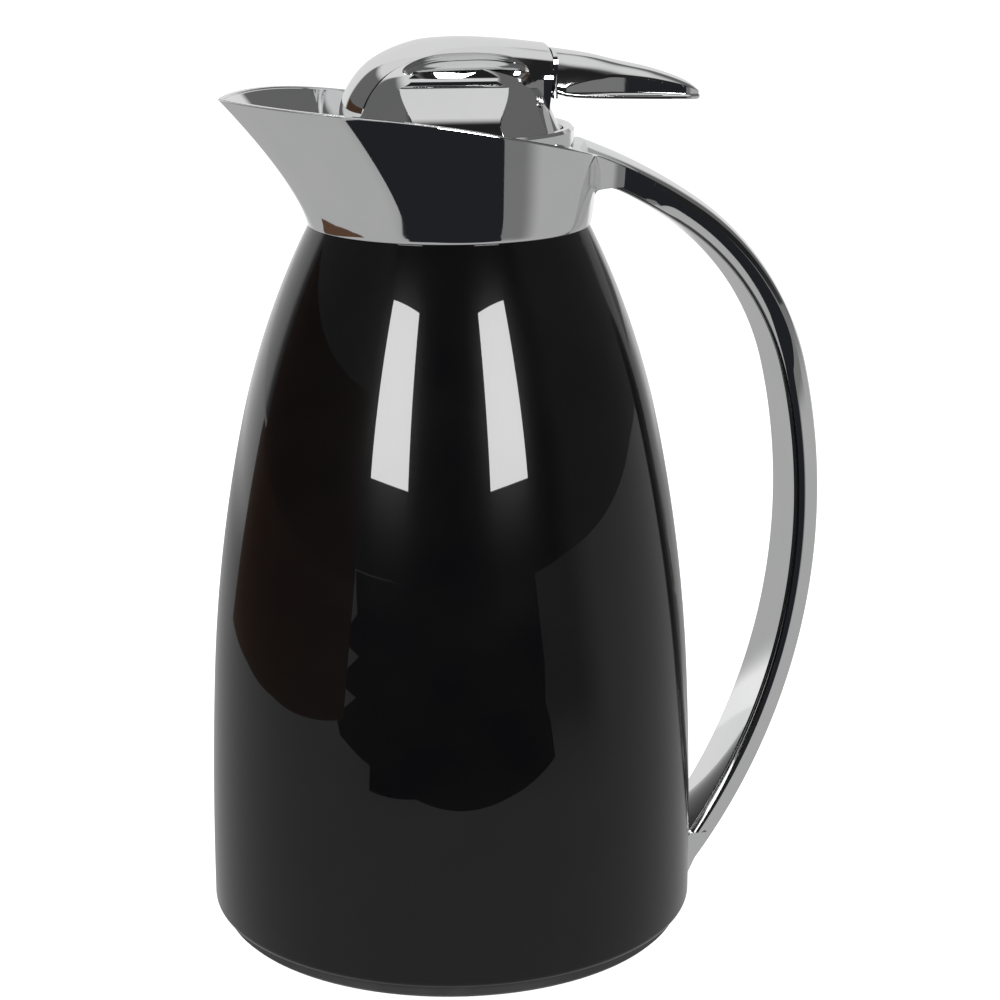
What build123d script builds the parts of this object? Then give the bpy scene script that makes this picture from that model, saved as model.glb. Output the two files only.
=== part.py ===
"""A one-litre thermal jug with a spouted collar, a loop handle and a lever lid.

Millimetres, +Z up. The origin is on the jug's axis at the plane it stands on,
the spout points along -X and the handle along +X.
"""

import os
from math import asin, atan2, cos, hypot, pi, radians, sin, sqrt

from build123d import *

os.makedirs("parts", exist_ok=True)

# Overall sizes
belly_radius = 70.0
belly_height = 14.0
shoulder_height = 204.0
neck_ring_inner_radius = 31.7
flask_mouth_radius = 21.0

# Clearances
fit_gap = 0.3
running_gap = 0.05
pin_gap = 0.02
thread_gap = 0.1
tolerance = 1e-3

# Neck ring, its clamping nut and the pouring port; heights count up from the shoulder
neck_ring_wall = 3.0
neck_ring_step = 1.7
neck_ring_rise = 27.0
neck_flange_thickness = 2.5
neck_flange_rise = -1.0
neck_skirt_drop = 8.0
nut_width = 3.0
nut_height = 3.9
nut_slots = 8
nut_slot_depth = 0.8
nut_slot_width = 4.0
neck_lip_chamfer = 0.8
port_width = 26.0
port_rise = 10.6
port_height = 10.4
port_round = 2.5

# Casing: a thin lacquered shell with a turned-in foot and a neck under the collar
shoulder_margin = 4.25
casing_wall = 1.2
casing_foot_height = 4.9
casing_foot_lip = 3.4
casing_foot_round = 2.1
neck_step = 1.3
neck_height = 6.0
neck_lip_thickness = 1.0
neck_wall = 1.0
casing_draw = ((0.321, 0.052), (0.716, 0.378))

# Base plate and rubber foot ring
base_plate_thickness = 2.6
base_rim_inset = 0.9
base_rim_bottom = 0.9
base_thread_height = 5.2
base_thread_wall = 2.4
base_rim_chamfer = 1.0
foot_ring_inset = 8.0
foot_ring_width = 6.5
foot_ring_depth = 1.3
foot_ring_chamfer = 0.4

# Double-walled glass flask
flask_standoff = 4.0
flask_shoulder_drop = 64.0
flask_glass = 1.5
flask_vacuum = 4.6
flask_bottom_height = 14.0
flask_bottom_round = 26.0
flask_mouth_glass = 1.6
flask_mouth_vacuum = 2.4
flask_mouth_drop = 3.5
flask_neck_length = 9.0
flask_tip_radius = 3.0
flask_tip_length = 5.0
flask_tip_round = 2.4

# Rubber and silicone pieces that hold the flask
cushion_inner_radius = 12.0
cushion_outer_radius = 31.0
cushion_chamfer = 1.5
pad_width = 12.0
gasket_skirt = 5.5
gasket_wall = 2.2
gasket_lip_margin = 0.4

# Collar: a flared spout cup with a floor, in one casting with the handle
collar_wall = 2.2
collar_floor = 2.5
collar_skirt_gap = 0.25
collar_flare = 2.8
collar_full_rise = 38.0
spout_overhang = 26.4
spout_flare_power = 1.34
spout_nose_power = 4.4
spout_nose_root = 0.95
rim_stations = ((-70.0, 36.0), (-35.0, 34.6), (-9.0, 31.2), (10.0, 27.5), (34.5, 20.8), (58.0, 10.6))
basin_rear = 24.0
collar_points = 32
collar_levels = 6
basin_levels = 5

# Handle: a crowned channel section carried along tangent arcs, given as offsets
# from the belly and the shoulder
handle_width = 22.0
handle_start_slope = -19.5
handle_top_offset = (-0.2, 3.0)
handle_upper_offset = (33.3, -45.0)
handle_middle_offset = (37.4, -108.0)
handle_foot_offset = (-3.4, 1.3)
handle_side = 6.2
handle_crown = 2.6
handle_root_fillet = 14.0
handle_root_reach = 12.5
handle_root_rise = 9.5
channel_depth = 3.6
channel_side = 2.0
liner_recess = 0.7
liner_thickness = 2.0
liner_root_reach = 13.5
liner_root_rise = 1.2
liner_root_round = 10.5
liner_root_drop = 3.0
liner_root_overlap = 1.0
foot_ledge_height = 18.0
foot_wedge_depth = 4.0
foot_wedge_reach = 6.5
foot_screw_height = 12.0
foot_screw_radius = 1.6
foot_screw_grip = 3.0
foot_screw_head = 3.6
foot_screw_head_thickness = 1.8

# Lid cap: a round skirt crossed by an arched finger grip
lid_gap = 0.4
lid_base_rise = 24.2
lid_edge = 1.2
grip_half_width = 10.0
grip_round = 4.6
grip_top_rise = 51.0
grip_front = 30.2
grip_rear = 27.0
grip_front_rise = 30.2
grip_rear_slope = -0.13
grip_waist_radius = 8.6
grip_waist_rise = 42.0
skirt_mid_radius = 15.5
skirt_mid_rise = 31.0
rear_shoulder_rise = 32.6
arch_stations = ((-27.8, 38.0), (-21.2, 45.3), (-10.0, 50.0), (1.0, 51.0), (13.5, 50.4), (27.0, 48.8))
scoop_centre_x = 2.0
scoop_rise = 42.3
scoop_half_length = 16.5
scoop_radius = 6.7
scoop_depth = 2.8
cavity_floor_rise = 29.2
cavity_roof_rise = 43.0
cavity_front = 5.5
cavity_sill_rise = 33.9

# Lever with its rocking arm and pin
lever_gap = 0.35
lever_reach = 72.4
lever_half_width = 9.6
lever_tip_half_width = 7.4
lever_tip_round = 5.0
lever_round = 4.2
lever_tip_edge = 1.0
lever_top_rises = ((0.0, 47.7), (0.25, 45.9), (0.46, 43.6), (0.67, 41.4), (0.89, 37.9), (1.0, 34.6))
lever_under_rise = 34.4
lever_tip_under_rise = 32.6
facet_start = 31.0
facet_middle = (50.0, 39.6)
facet_end = (68.0, 35.6)
facet_lip = 1.1
facet_depth = 1.6
pivot_reach = 21.5
pivot_rise = 34.5
pin_radius = 1.5
pin_recess = 0.2
arm_half_width = 4.2
arm_side_gap = 0.7
arm_boss_radius = 3.4
arm_nose_radius = 2.2
arm_nose_rise = 32.4
arm_neck_rise = 35.7
arm_neck_top_rise = 42.3
arm_slot_rear = 3.4

# Stopper: a head with a pouring chamber, a plug in the flask's mouth
head_wall = 2.0
head_floor_rise = 3.0
head_floor = 2.0
chamber_top_rise = 22.0
plug_gap = 0.6
plug_taper = 0.8
plug_wall = 1.6
plug_drop = 18.0
core_radius = 12.0
core_wall = 1.5
core_base = 2.0
valve_port_radius = 7.0
seal_width = 3.4
seal_chamfer = 1.0

# Valve stem, disc, seals and spring
stem_radius = 2.0
stem_head_radius = 4.2
stem_head_thickness = 2.5
stem_head_chamfer = 0.8
valve_seal_radius = 9.2
valve_seal_thickness = 1.5
valve_disc_radius = 8.6
valve_disc_thickness = 2.2
valve_disc_chamfer = 0.8
guide_boss_radius = 6.5
guide_boss_height = 2.8
stem_seal_radius = 3.9
stem_seal_thickness = 1.6
washer_radius = 5.2
washer_thickness = 1.0
washer_rise = 10.0
spring_wire_radius = 0.45
spring_wire_sides = 6
spring_radius = 3.8
spring_turns = 4

# Lid screws
screw_radius = 1.3
screw_head_radius = 2.4
screw_head_thickness = 1.7
screw_length = 9.0
screw_front_x = -19.0
screw_rear_x = 13.0
screw_rear_y = 7.4

# Sizes worked out from the ones above
ring_outer = neck_ring_inner_radius + neck_ring_wall
ring_shank = ring_outer - neck_ring_step
shoulder_radius = ring_outer + shoulder_margin
neck_radius = shoulder_radius - neck_step
neck_top = shoulder_height + neck_height
floor_bottom = neck_top + fit_gap
floor_top = floor_bottom + collar_floor
flask_neck_radius = flask_mouth_radius + 2 * flask_mouth_glass + flask_mouth_vacuum
flask_mouth_height = shoulder_height - flask_mouth_drop
lid_radius = neck_ring_inner_radius - lid_gap
plug_radius = flask_mouth_radius - plug_gap
stem_bore = stem_radius + running_gap
cavity_half_width = arm_half_width + arm_side_gap


def casing_arcs():
    """The casing's profile, upright at the belly: each tangent arc's centre, radius and ends."""
    drop = belly_radius - shoulder_radius
    rise = shoulder_height - belly_height
    nodes = [(belly_radius, belly_height)]
    nodes += [(belly_radius - drawn * drop, belly_height + level * rise) for level, drawn in casing_draw]
    nodes.append((shoulder_radius, shoulder_height))
    heading = pi / 2
    arcs = []
    for (x0, z0), (x1, z1) in zip(nodes, nodes[1:]):
        turn = atan2(z1 - z0, x1 - x0) - heading
        radius = hypot(x1 - x0, z1 - z0) / (2 * sin(turn))
        centre = (x0 - radius * sin(heading), z0 + radius * cos(heading))
        arcs.append((centre, radius, z0, z1))
        heading += 2 * turn
    return arcs


def casing_span(arc, low, high, depth):
    """Three points of one arc between two heights, set in towards its centre by a depth."""
    (x, z), radius = arc[:2]
    points = []
    for height in (low, (low + high) / 2, high):
        lean = asin((height - z) / radius)
        points.append((x + (radius - depth) * cos(lean), z + (radius - depth) * sin(lean)))
    return points


def casing_curve(low, high, depth):
    """Arcs along the casing's profile between two heights, set in by a depth."""
    spans = [(arc, max(low, arc[2]), min(high, arc[3])) for arc in casing_arcs()]
    return [ThreePointArc(*casing_span(*span, depth)) for span in spans if span[2] > span[1]]


def casing_radius(height):
    """The casing's outer radius at a height above the belly."""
    arc = [arc for arc in casing_arcs() if arc[2] <= height][-1]
    return casing_span(arc, height, height, 0.0)[0][0]


# Body casing
foot_radius = belly_radius - casing_foot_round
foot_lip_radius = foot_radius - casing_foot_lip
foot_floor = casing_foot_height + casing_wall
neck_bore = ring_shank + fit_gap
neck_inner = neck_radius - neck_wall
with BuildPart() as body_casing:
    with BuildSketch(Plane.XZ):
        with BuildLine():
            outer = casing_curve(belly_height, shoulder_height, 0.0)
            inner = casing_curve(belly_height, shoulder_height - neck_lip_thickness, casing_wall)
            Polyline(
                outer[-1] @ 1,
                (neck_radius, shoulder_height),
                (neck_radius, neck_top),
                (neck_bore, neck_top),
                (neck_bore, neck_top - neck_lip_thickness),
                (neck_inner, neck_top - neck_lip_thickness),
                (neck_inner, shoulder_height),
                inner[-1] @ 1,
            )
            Polyline(
                inner[0] @ 0,
                (belly_radius - casing_wall, casing_foot_height + casing_foot_round),
                (foot_radius, foot_floor),
                (foot_lip_radius, foot_floor),
                (foot_lip_radius, casing_foot_height),
                (foot_radius, casing_foot_height),
            )
            foot_arc = RadiusArc(
                (foot_radius, casing_foot_height),
                (belly_radius, casing_foot_height + casing_foot_round),
                -casing_foot_round,
            )
            Line(foot_arc @ 1, outer[0] @ 0)
        make_face()
    revolve(axis=Axis.Z)
    with BuildSketch(Plane.YZ.offset(belly_radius - 3 * casing_wall)):
        with Locations((0, foot_screw_height)):
            Circle(foot_screw_radius + pin_gap)
    extrude(amount=4 * casing_wall, mode=Mode.SUBTRACT)
body_casing.part.label = "body_casing"
export_step(body_casing.part, "parts/body_casing.step")

# Base plate: the black ring that shows under the casing, and the threaded cup above it
rim_radius = foot_radius - base_rim_inset
thread_radius = foot_lip_radius - fit_gap
foot_ring_outer = rim_radius - foot_ring_inset
foot_ring_inner = foot_ring_outer - foot_ring_width
plate_top = base_rim_bottom + base_plate_thickness
with BuildPart() as base_plate:
    with BuildSketch(Plane.XY.offset(base_rim_bottom)):
        Circle(rim_radius)
    extrude(amount=casing_foot_height - base_rim_bottom)
    chamfer(base_plate.edges().group_by(Axis.Z)[0], base_rim_chamfer)
    with BuildSketch(Plane.XY.offset(casing_foot_height)):
        Circle(thread_radius)
    extrude(amount=base_thread_height)
    with BuildSketch(Plane.XY.offset(plate_top)):
        Circle(thread_radius - base_thread_wall)
    extrude(amount=casing_foot_height + base_thread_height - plate_top, mode=Mode.SUBTRACT)
    with BuildSketch(Plane.XY.offset(base_rim_bottom)):
        Circle(foot_ring_outer)
        Circle(foot_ring_inner, mode=Mode.SUBTRACT)
    extrude(amount=foot_ring_depth, mode=Mode.SUBTRACT)
base_plate.part.label = "base_plate"
export_step(base_plate.part, "parts/base_plate.step")

# Foot ring: rubber, set in the base plate's groove, what the jug stands on
with BuildPart() as foot_ring:
    with BuildSketch():
        Circle(foot_ring_outer - running_gap)
        Circle(foot_ring_inner + running_gap, mode=Mode.SUBTRACT)
    extrude(amount=base_rim_bottom + foot_ring_depth)
    chamfer(foot_ring.edges().group_by(Axis.Z)[0], foot_ring_chamfer)
foot_ring.part.label = "foot_ring"
export_step(foot_ring.part, "parts/foot_ring.step")

# Flask: two blown glasses sealed to each other under the lip, with nothing between their walls
flask_shoulder = shoulder_height - flask_shoulder_drop
flask_radius = casing_radius(flask_shoulder) - casing_wall - flask_standoff


def flask_outline(depth, neck, top):
    """A closed half outline of a flask surface, set in from the outer glass by a depth."""
    bottom = flask_bottom_height + depth
    wall = flask_radius - depth
    corner = flask_bottom_round - depth
    neck_foot = (neck, flask_mouth_height - flask_neck_length)
    with BuildLine() as outline:
        Line((wall, bottom + corner), (wall, flask_shoulder))
        TangentArc((wall, flask_shoulder), neck_foot, tangent=(0, 1))
        Polyline(neck_foot, (neck, top), (0, top), (0, bottom), (wall - corner, bottom))
        RadiusArc((wall - corner, bottom), (wall, bottom + corner), -corner)
    return outline.line


flask_lip_bottom = flask_mouth_height - flask_mouth_glass
with BuildPart() as flask_outer:
    outer_glass = (
        (0.0, flask_neck_radius, Mode.ADD),
        (flask_glass, flask_neck_radius - flask_mouth_glass, Mode.SUBTRACT),
    )
    for depth, neck, mode in outer_glass:
        with BuildSketch(Plane.XZ):
            with BuildLine():
                add(flask_outline(depth, neck, flask_lip_bottom))
            make_face()
        revolve(axis=Axis.Z, mode=mode)
    with BuildSketch(Plane.XY.offset(flask_bottom_height - flask_tip_length)):
        Circle(flask_tip_radius)
    extrude(amount=flask_tip_length)
    fillet(flask_outer.edges().group_by(Axis.Z)[0], flask_tip_round)
flask_outer.part.label = "flask_outer"
export_step(flask_outer.part, "parts/flask_outer.step")

inner_depth = flask_glass + flask_vacuum
with BuildPart() as flask_inner:
    with BuildSketch(Plane.XZ):
        with BuildLine():
            add(flask_outline(inner_depth, flask_mouth_radius + flask_mouth_glass, flask_mouth_height))
        make_face()
    revolve(axis=Axis.Z)
    with BuildSketch(Plane.XY.offset(flask_lip_bottom)):
        Circle(flask_neck_radius)
    extrude(amount=flask_mouth_glass)
    with BuildSketch(Plane.XZ):
        with BuildLine():
            add(flask_outline(inner_depth + flask_glass, flask_mouth_radius, flask_mouth_height))
        make_face()
    revolve(axis=Axis.Z, mode=Mode.SUBTRACT)
flask_inner.part.label = "flask_inner"
export_step(flask_inner.part, "parts/flask_inner.step")

# Flask cushion: the rubber ring between the base plate and the flask's bottom
with BuildPart() as flask_cushion:
    with BuildSketch(Plane.XY.offset(plate_top)):
        Circle(cushion_outer_radius)
        Circle(cushion_inner_radius, mode=Mode.SUBTRACT)
    extrude(amount=flask_bottom_height - fit_gap - plate_top)
    chamfer(flask_cushion.edges().group_by(Axis.Z)[-1], cushion_chamfer)
flask_cushion.part.label = "flask_cushion"
export_step(flask_cushion.part, "parts/flask_cushion.step")

# Shoulder pad: a felt band that centres the flask in the casing
pad_low = flask_shoulder - pad_width
pad_inner = flask_radius + fit_gap
with BuildPart() as shoulder_pad:
    with BuildSketch(Plane.XZ):
        with BuildLine():
            pad_outer = casing_curve(pad_low, flask_shoulder, casing_wall + fit_gap)
            Polyline(pad_outer[-1] @ 1, (pad_inner, flask_shoulder), (pad_inner, pad_low), pad_outer[0] @ 0)
        make_face()
    revolve(axis=Axis.Z)
shoulder_pad.part.label = "shoulder_pad"
export_step(shoulder_pad.part, "parts/shoulder_pad.step")

# Flask gasket: silicone over the flask's lip, pressed by the neck ring's flange
flange_bottom = shoulder_height + neck_flange_rise
gasket_lip = flask_mouth_radius + gasket_lip_margin
gasket_inner = flask_neck_radius + thread_gap
gasket_outer = gasket_inner + gasket_wall
with BuildPart() as flask_gasket:
    with BuildSketch(Plane.XZ):
        with BuildLine():
            Polyline(
                (gasket_lip, flask_mouth_height),
                (gasket_inner, flask_mouth_height),
                (gasket_inner, flask_mouth_height - gasket_skirt),
                (gasket_outer, flask_mouth_height - gasket_skirt),
                (gasket_outer, flange_bottom),
                (gasket_lip, flange_bottom),
                close=True,
            )
        make_face()
    revolve(axis=Axis.Z)
flask_gasket.part.label = "flask_gasket"
export_step(flask_gasket.part, "parts/flask_gasket.step")

# Neck ring: holds the flask down, carries the stopper, and pours through its port
flange_top = flange_bottom + neck_flange_thickness
flange_inner = flask_mouth_radius + seal_width + 2 * fit_gap
ring_top = shoulder_height + neck_ring_rise
with BuildPart() as neck_ring:
    with BuildSketch(Plane.XZ):
        with BuildLine():
            Polyline(
                (flange_inner, flange_bottom),
                (gasket_outer + thread_gap, flange_bottom),
                (gasket_outer + thread_gap, shoulder_height - neck_skirt_drop),
                (ring_shank, shoulder_height - neck_skirt_drop),
                (ring_shank, floor_top),
                (ring_outer, floor_top),
                (ring_outer, ring_top),
                (neck_ring_inner_radius, ring_top),
                (neck_ring_inner_radius, flange_top),
                (flange_inner, flange_top),
                close=True,
            )
        make_face()
    revolve(axis=Axis.Z)
    chamfer(neck_ring.edges().group_by(Axis.Z)[-1], neck_lip_chamfer)
    with BuildSketch(Plane.YZ.offset(-2 * ring_outer)):
        with Locations((0, shoulder_height + port_rise + port_height / 2)):
            RectangleRounded(port_width, port_height, port_round)
    extrude(amount=1.5 * ring_outer, mode=Mode.SUBTRACT)
neck_ring.part.label = "neck_ring"
export_step(neck_ring.part, "parts/neck_ring.step")

# Neck nut: screws up the neck ring and clamps the casing's lip to the collar's floor
nut_top = neck_top - neck_lip_thickness
nut_bore = ring_shank + thread_gap
with BuildPart() as neck_nut:
    with BuildSketch(Plane.XY.offset(nut_top - nut_height)):
        Circle(nut_bore + nut_width)
        Circle(nut_bore, mode=Mode.SUBTRACT)
    extrude(amount=nut_height)
    with BuildSketch(Plane.XY.offset(nut_top - nut_height)):
        with PolarLocations(nut_bore + nut_width, nut_slots):
            Rectangle(2 * nut_slot_depth, nut_slot_width)
    extrude(amount=nut_height / 2, mode=Mode.SUBTRACT)
neck_nut.part.label = "neck_nut"
export_step(neck_nut.part, "parts/neck_nut.step")

# Collar and handle: one bright casting from the spout's tip to the handle's foot
collar_foot_radius = shoulder_radius + collar_skirt_gap


def collar_side_radius(share):
    """The collar's radius behind and beside, at a share of its full height."""
    return collar_foot_radius + collar_flare * sqrt(share)


def collar_section(height, inset):
    """Points round the collar at a height: round behind, drawn out to a nose in front."""
    share = (height - shoulder_height) / collar_full_rise
    flare = share**spout_flare_power
    front = collar_foot_radius + spout_overhang * flare - inset
    side = collar_side_radius(share) - inset
    power = 2.0 + (spout_nose_power - 2.0) * flare
    root = 0.5 + (spout_nose_root - 0.5) * flare
    points = []
    for i in range(collar_points):
        turn = 2 * pi * i / collar_points
        x, y = side * cos(turn), side * sin(turn)
        if x < -tolerance:
            reach = -cos(turn)
            x = -front * reach
            y = side * max(0.0, 1 - reach**power) ** root * (1 if turn < pi else -1)
        points.append((x, y))
    return points


def handle_line():
    """The handle's outer side edge, as tangent arcs from the rim to the foot."""
    nodes = (
        (rim_stations[-2][0], shoulder_height + rim_stations[-2][1]),
        (belly_radius + handle_top_offset[0], shoulder_height + handle_top_offset[1]),
        (belly_radius + handle_upper_offset[0], shoulder_height + handle_upper_offset[1]),
        (belly_radius + handle_middle_offset[0], shoulder_height + handle_middle_offset[1]),
        (belly_radius + handle_foot_offset[0], handle_foot_offset[1]),
    )
    tangent = (cos(radians(handle_start_slope)), sin(radians(handle_start_slope)))
    with BuildLine() as line:
        for start, end in zip(nodes, nodes[1:]):
            arc = TangentArc(start, end, tangent=tangent)
            tangent = arc % 1
    return line.line


handle_path = Plane.XZ.from_local_coords(handle_line())
handle_root = Plane(origin=handle_path @ 0, z_dir=handle_path % 0, x_dir=(0, 1, 0))
channel_half = handle_width / 2 - channel_side
collar_rear_radius = collar_side_radius(handle_root_rise / collar_full_rise) - running_gap


def above_rim():
    """The space above the rim line, wider than the collar, as a tool that cuts it."""
    high = shoulder_height + 2 * collar_full_rise
    stations = [(x, shoulder_height + rise) for x, rise in rim_stations]
    with BuildPart(mode=Mode.PRIVATE) as tool:
        with BuildSketch(Plane.XZ):
            with BuildLine():
                rim = Spline(*stations)
                Polyline(rim @ 1, (stations[-1][0], high), (stations[0][0], high), rim @ 0)
            make_face()
        extrude(amount=2 * collar_foot_radius, both=True)
    return tool.part


def collar_body(inset, low, high, levels):
    """The collar's form between two heights, set in by an inset."""
    with BuildPart(mode=Mode.PRIVATE) as body:
        for level in range(levels):
            height = low + (high - low) * level / (levels - 1)
            with BuildSketch(Plane.XY.offset(height)):
                with BuildLine():
                    Spline(*collar_section(height, inset), periodic=True)
                make_face()
        loft()
    return body.part


def casing_space(margin):
    """The space inside the closed casing and a margin round it, to trim what meets it."""
    with BuildPart(mode=Mode.PRIVATE) as space:
        with BuildSketch(Plane.XZ):
            with BuildLine():
                wall = casing_curve(belly_height, shoulder_height, -margin)
                Polyline(
                    wall[-1] @ 1,
                    (0, shoulder_height),
                    (0, casing_foot_height),
                    (belly_radius + margin, casing_foot_height),
                    wall[0] @ 0,
                )
            make_face()
        revolve(axis=Axis.Z)
    return space.part


def handle_bar(low, high, half):
    """A bar along the handle: between two depths from its edge line, and so wide."""
    with BuildPart(mode=Mode.PRIVATE) as bar:
        with BuildSketch(handle_root):
            with Locations((0, (low + high) / 2)):
                Rectangle(2 * half, high - low)
        sweep(path=handle_path)
    return bar.part


def block_from(corner, length, width, height):
    """A block that starts at a corner's x and z, runs along +X, and is centred on y."""
    aligned = (Align.MIN, Align.CENTER, Align.MIN)
    return Pos(corner[0], 0, corner[1]) * Box(length, width, height, align=aligned, mode=Mode.PRIVATE)


rim_cutter = above_rim()
collar_top = shoulder_height + collar_full_rise
collar_rear = Cylinder(collar_rear_radius, collar_full_rise, align=(Align.CENTER, Align.CENTER, Align.MIN))
collar_rear = Pos(0, 0, shoulder_height) * collar_rear
ledge_corner = (belly_radius - handle_width, 0)
ledge_block = block_from(ledge_corner, 2 * handle_width, 2 * handle_width, foot_ledge_height)
channel = handle_bar(-1.5 * handle_side, channel_depth - handle_side, channel_half)
channel -= collar_rear + ledge_block
basin = collar_body(collar_wall, floor_top, collar_top, basin_levels)
basin -= block_from((basin_rear, floor_top), belly_radius, 2 * belly_radius, collar_full_rise)
with BuildPart() as collar_and_handle:
    add(collar_body(0.0, shoulder_height, collar_top, collar_levels))
    with BuildSketch(Plane.XY.offset(shoulder_height + handle_root_rise)) as root_plan:
        Circle(collar_rear_radius)
        with Locations((collar_rear_radius, 0)):
            Rectangle(2 * handle_root_reach, handle_width)
        inside_corners = [
            corner
            for corner in root_plan.vertices()
            if abs(hypot(corner.X, corner.Y) - collar_rear_radius) < tolerance and corner.X > 0
        ]
        fillet(inside_corners, handle_root_fillet)
    extrude(amount=collar_full_rise)
    add(rim_cutter, mode=Mode.SUBTRACT)
    with BuildSketch(handle_root):
        with BuildLine():
            Polyline(
                (-handle_width / 2, 0),
                (-handle_width / 2, -handle_side),
                (handle_width / 2, -handle_side),
                (handle_width / 2, 0),
            )
            ThreePointArc((-handle_width / 2, 0), (0, handle_crown), (handle_width / 2, 0))
        make_face()
    sweep(path=handle_path)
    with BuildSketch(Plane.XZ):
        with BuildLine():
            Polyline(
                (belly_radius - foot_wedge_depth, foot_ledge_height),
                (belly_radius + foot_wedge_reach, foot_ledge_height),
                (belly_radius, casing_foot_height),
                (belly_radius - foot_wedge_depth, casing_foot_height),
                close=True,
            )
        make_face()
    extrude(amount=handle_width / 2, both=True)
    add(channel, mode=Mode.SUBTRACT)
    add(casing_space(running_gap), mode=Mode.SUBTRACT)
    add(basin, mode=Mode.SUBTRACT)
    with BuildSketch(Plane.XY.offset(floor_top)):
        Circle(ring_outer + running_gap)
    extrude(amount=collar_full_rise, mode=Mode.SUBTRACT)
    with BuildSketch(Plane.XY.offset(shoulder_height)):
        Circle(neck_bore)
    extrude(amount=collar_full_rise, mode=Mode.SUBTRACT)
    with BuildSketch(Plane.XY.offset(shoulder_height)):
        Circle(neck_radius + collar_skirt_gap)
    extrude(amount=floor_bottom - shoulder_height, mode=Mode.SUBTRACT)
    with BuildSketch(Plane.XY.offset(casing_foot_height)):
        Rectangle(4 * belly_radius, 4 * belly_radius)
    extrude(amount=-2 * casing_foot_height, mode=Mode.SUBTRACT)
    with BuildSketch(Plane.YZ.offset(belly_radius - casing_wall)):
        with Locations((0, foot_screw_height)):
            Circle(foot_screw_radius + pin_gap)
    extrude(amount=casing_wall + foot_screw_grip + fit_gap, mode=Mode.SUBTRACT)
collar_and_handle.part.label = "collar_and_handle"
export_step(collar_and_handle.part, "parts/collar_and_handle.step")

# Handle liner: the strip that closes the handle's channel and rounds into the collar
liner_low = liner_recess - handle_side
liner_high = channel_depth - handle_side - running_gap
liner_half = channel_half - running_gap
root_start = (handle_path @ 0).X
line_drop = (handle_path % 0).Z / (handle_path % 0).X
liner_root_top = (handle_path @ 0).Z + line_drop * (collar_foot_radius - root_start)
liner_root_top -= liner_thickness + handle_crown
liner_root_tip = (collar_foot_radius + liner_root_reach, shoulder_height + handle_root_rise - liner_root_drop)
liner_heel_radius = collar_foot_radius - liner_root_overlap
with BuildPart() as handle_liner:
    add(handle_bar(liner_low, liner_high, liner_half))
    with BuildSketch(Plane.XZ):
        with BuildLine():
            heel = (liner_heel_radius, shoulder_height + liner_root_rise)
            Polyline(
                heel,
                (liner_heel_radius, liner_root_top),
                (liner_root_tip[0], liner_root_tip[1] + liner_thickness),
                liner_root_tip,
            )
            RadiusArc(heel, liner_root_tip, liner_root_round)
        make_face()
    extrude(amount=liner_half, both=True)
    add(collar_body(-running_gap, shoulder_height, collar_top, collar_levels), mode=Mode.SUBTRACT)
    with BuildSketch(Plane.XY.offset(foot_ledge_height + running_gap)):
        Rectangle(4 * belly_radius, 4 * belly_radius)
    extrude(amount=-2 * foot_ledge_height, mode=Mode.SUBTRACT)
    add(casing_space(fit_gap), mode=Mode.SUBTRACT)
handle_liner.part.label = "handle_liner"
export_step(handle_liner.part, "parts/handle_liner.step")

# Foot screw: through the casing's wall from inside, into the handle's foot
foot_screw_seat = sqrt((belly_radius - casing_wall) ** 2 - foot_screw_head**2) - running_gap
with BuildPart() as foot_screw:
    with BuildSketch(Plane.YZ.offset(foot_screw_seat - foot_screw_head_thickness)):
        with Locations((0, foot_screw_height)):
            Circle(foot_screw_head)
    extrude(amount=foot_screw_head_thickness)
    with BuildSketch(Plane.YZ.offset(foot_screw_seat)):
        with Locations((0, foot_screw_height)):
            Circle(foot_screw_radius)
    extrude(amount=casing_wall + foot_screw_grip)
foot_screw.part.label = "foot_screw"
export_step(foot_screw.part, "parts/foot_screw.step")

# Stopper body: the head that fills the neck ring and the plug in the flask's mouth
head_bottom = shoulder_height + head_floor_rise
head_floor_top = head_bottom + head_floor
chamber_top = shoulder_height + chamber_top_rise
plug_bottom = shoulder_height - plug_drop
core_bore = core_radius - core_wall
with BuildPart() as stopper_body:
    with BuildSketch(Plane.XZ):
        with BuildLine():
            Polyline(
                (lid_radius, chamber_top),
                (lid_radius, head_bottom),
                (plug_radius, head_bottom),
                (plug_radius - plug_taper, plug_bottom),
                (plug_radius - plug_taper - plug_wall, plug_bottom),
                (plug_radius - plug_wall, head_bottom),
                (core_radius + running_gap, head_bottom),
                (core_radius + running_gap, head_floor_top),
                (lid_radius - head_wall, head_floor_top),
                (lid_radius - head_wall, chamber_top),
                close=True,
            )
        make_face()
    revolve(axis=Axis.Z)
    with BuildSketch(Plane.YZ.offset(-2 * lid_radius)):
        with Locations((0, shoulder_height + port_rise + port_height / 2)):
            RectangleRounded(port_width, port_height, port_round)
    extrude(amount=1.5 * lid_radius, mode=Mode.SUBTRACT)
stopper_body.part.label = "stopper_body"
export_step(stopper_body.part, "parts/stopper_body.step")

# Stopper core: the pouring tube with the valve's seat, which closes the plug below
with BuildPart() as stopper_core:
    with BuildSketch(Plane.XZ):
        with BuildLine():
            Polyline(
                (valve_port_radius, plug_bottom - core_base),
                (plug_radius - plug_taper, plug_bottom - core_base),
                (plug_radius - plug_taper, plug_bottom),
                (core_radius, plug_bottom),
                (core_radius, head_floor_top),
                (core_bore, head_floor_top),
                (core_bore, plug_bottom),
                (valve_port_radius, plug_bottom),
                close=True,
            )
        make_face()
    revolve(axis=Axis.Z)
stopper_core.part.label = "stopper_core"
export_step(stopper_core.part, "parts/stopper_core.step")

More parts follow.
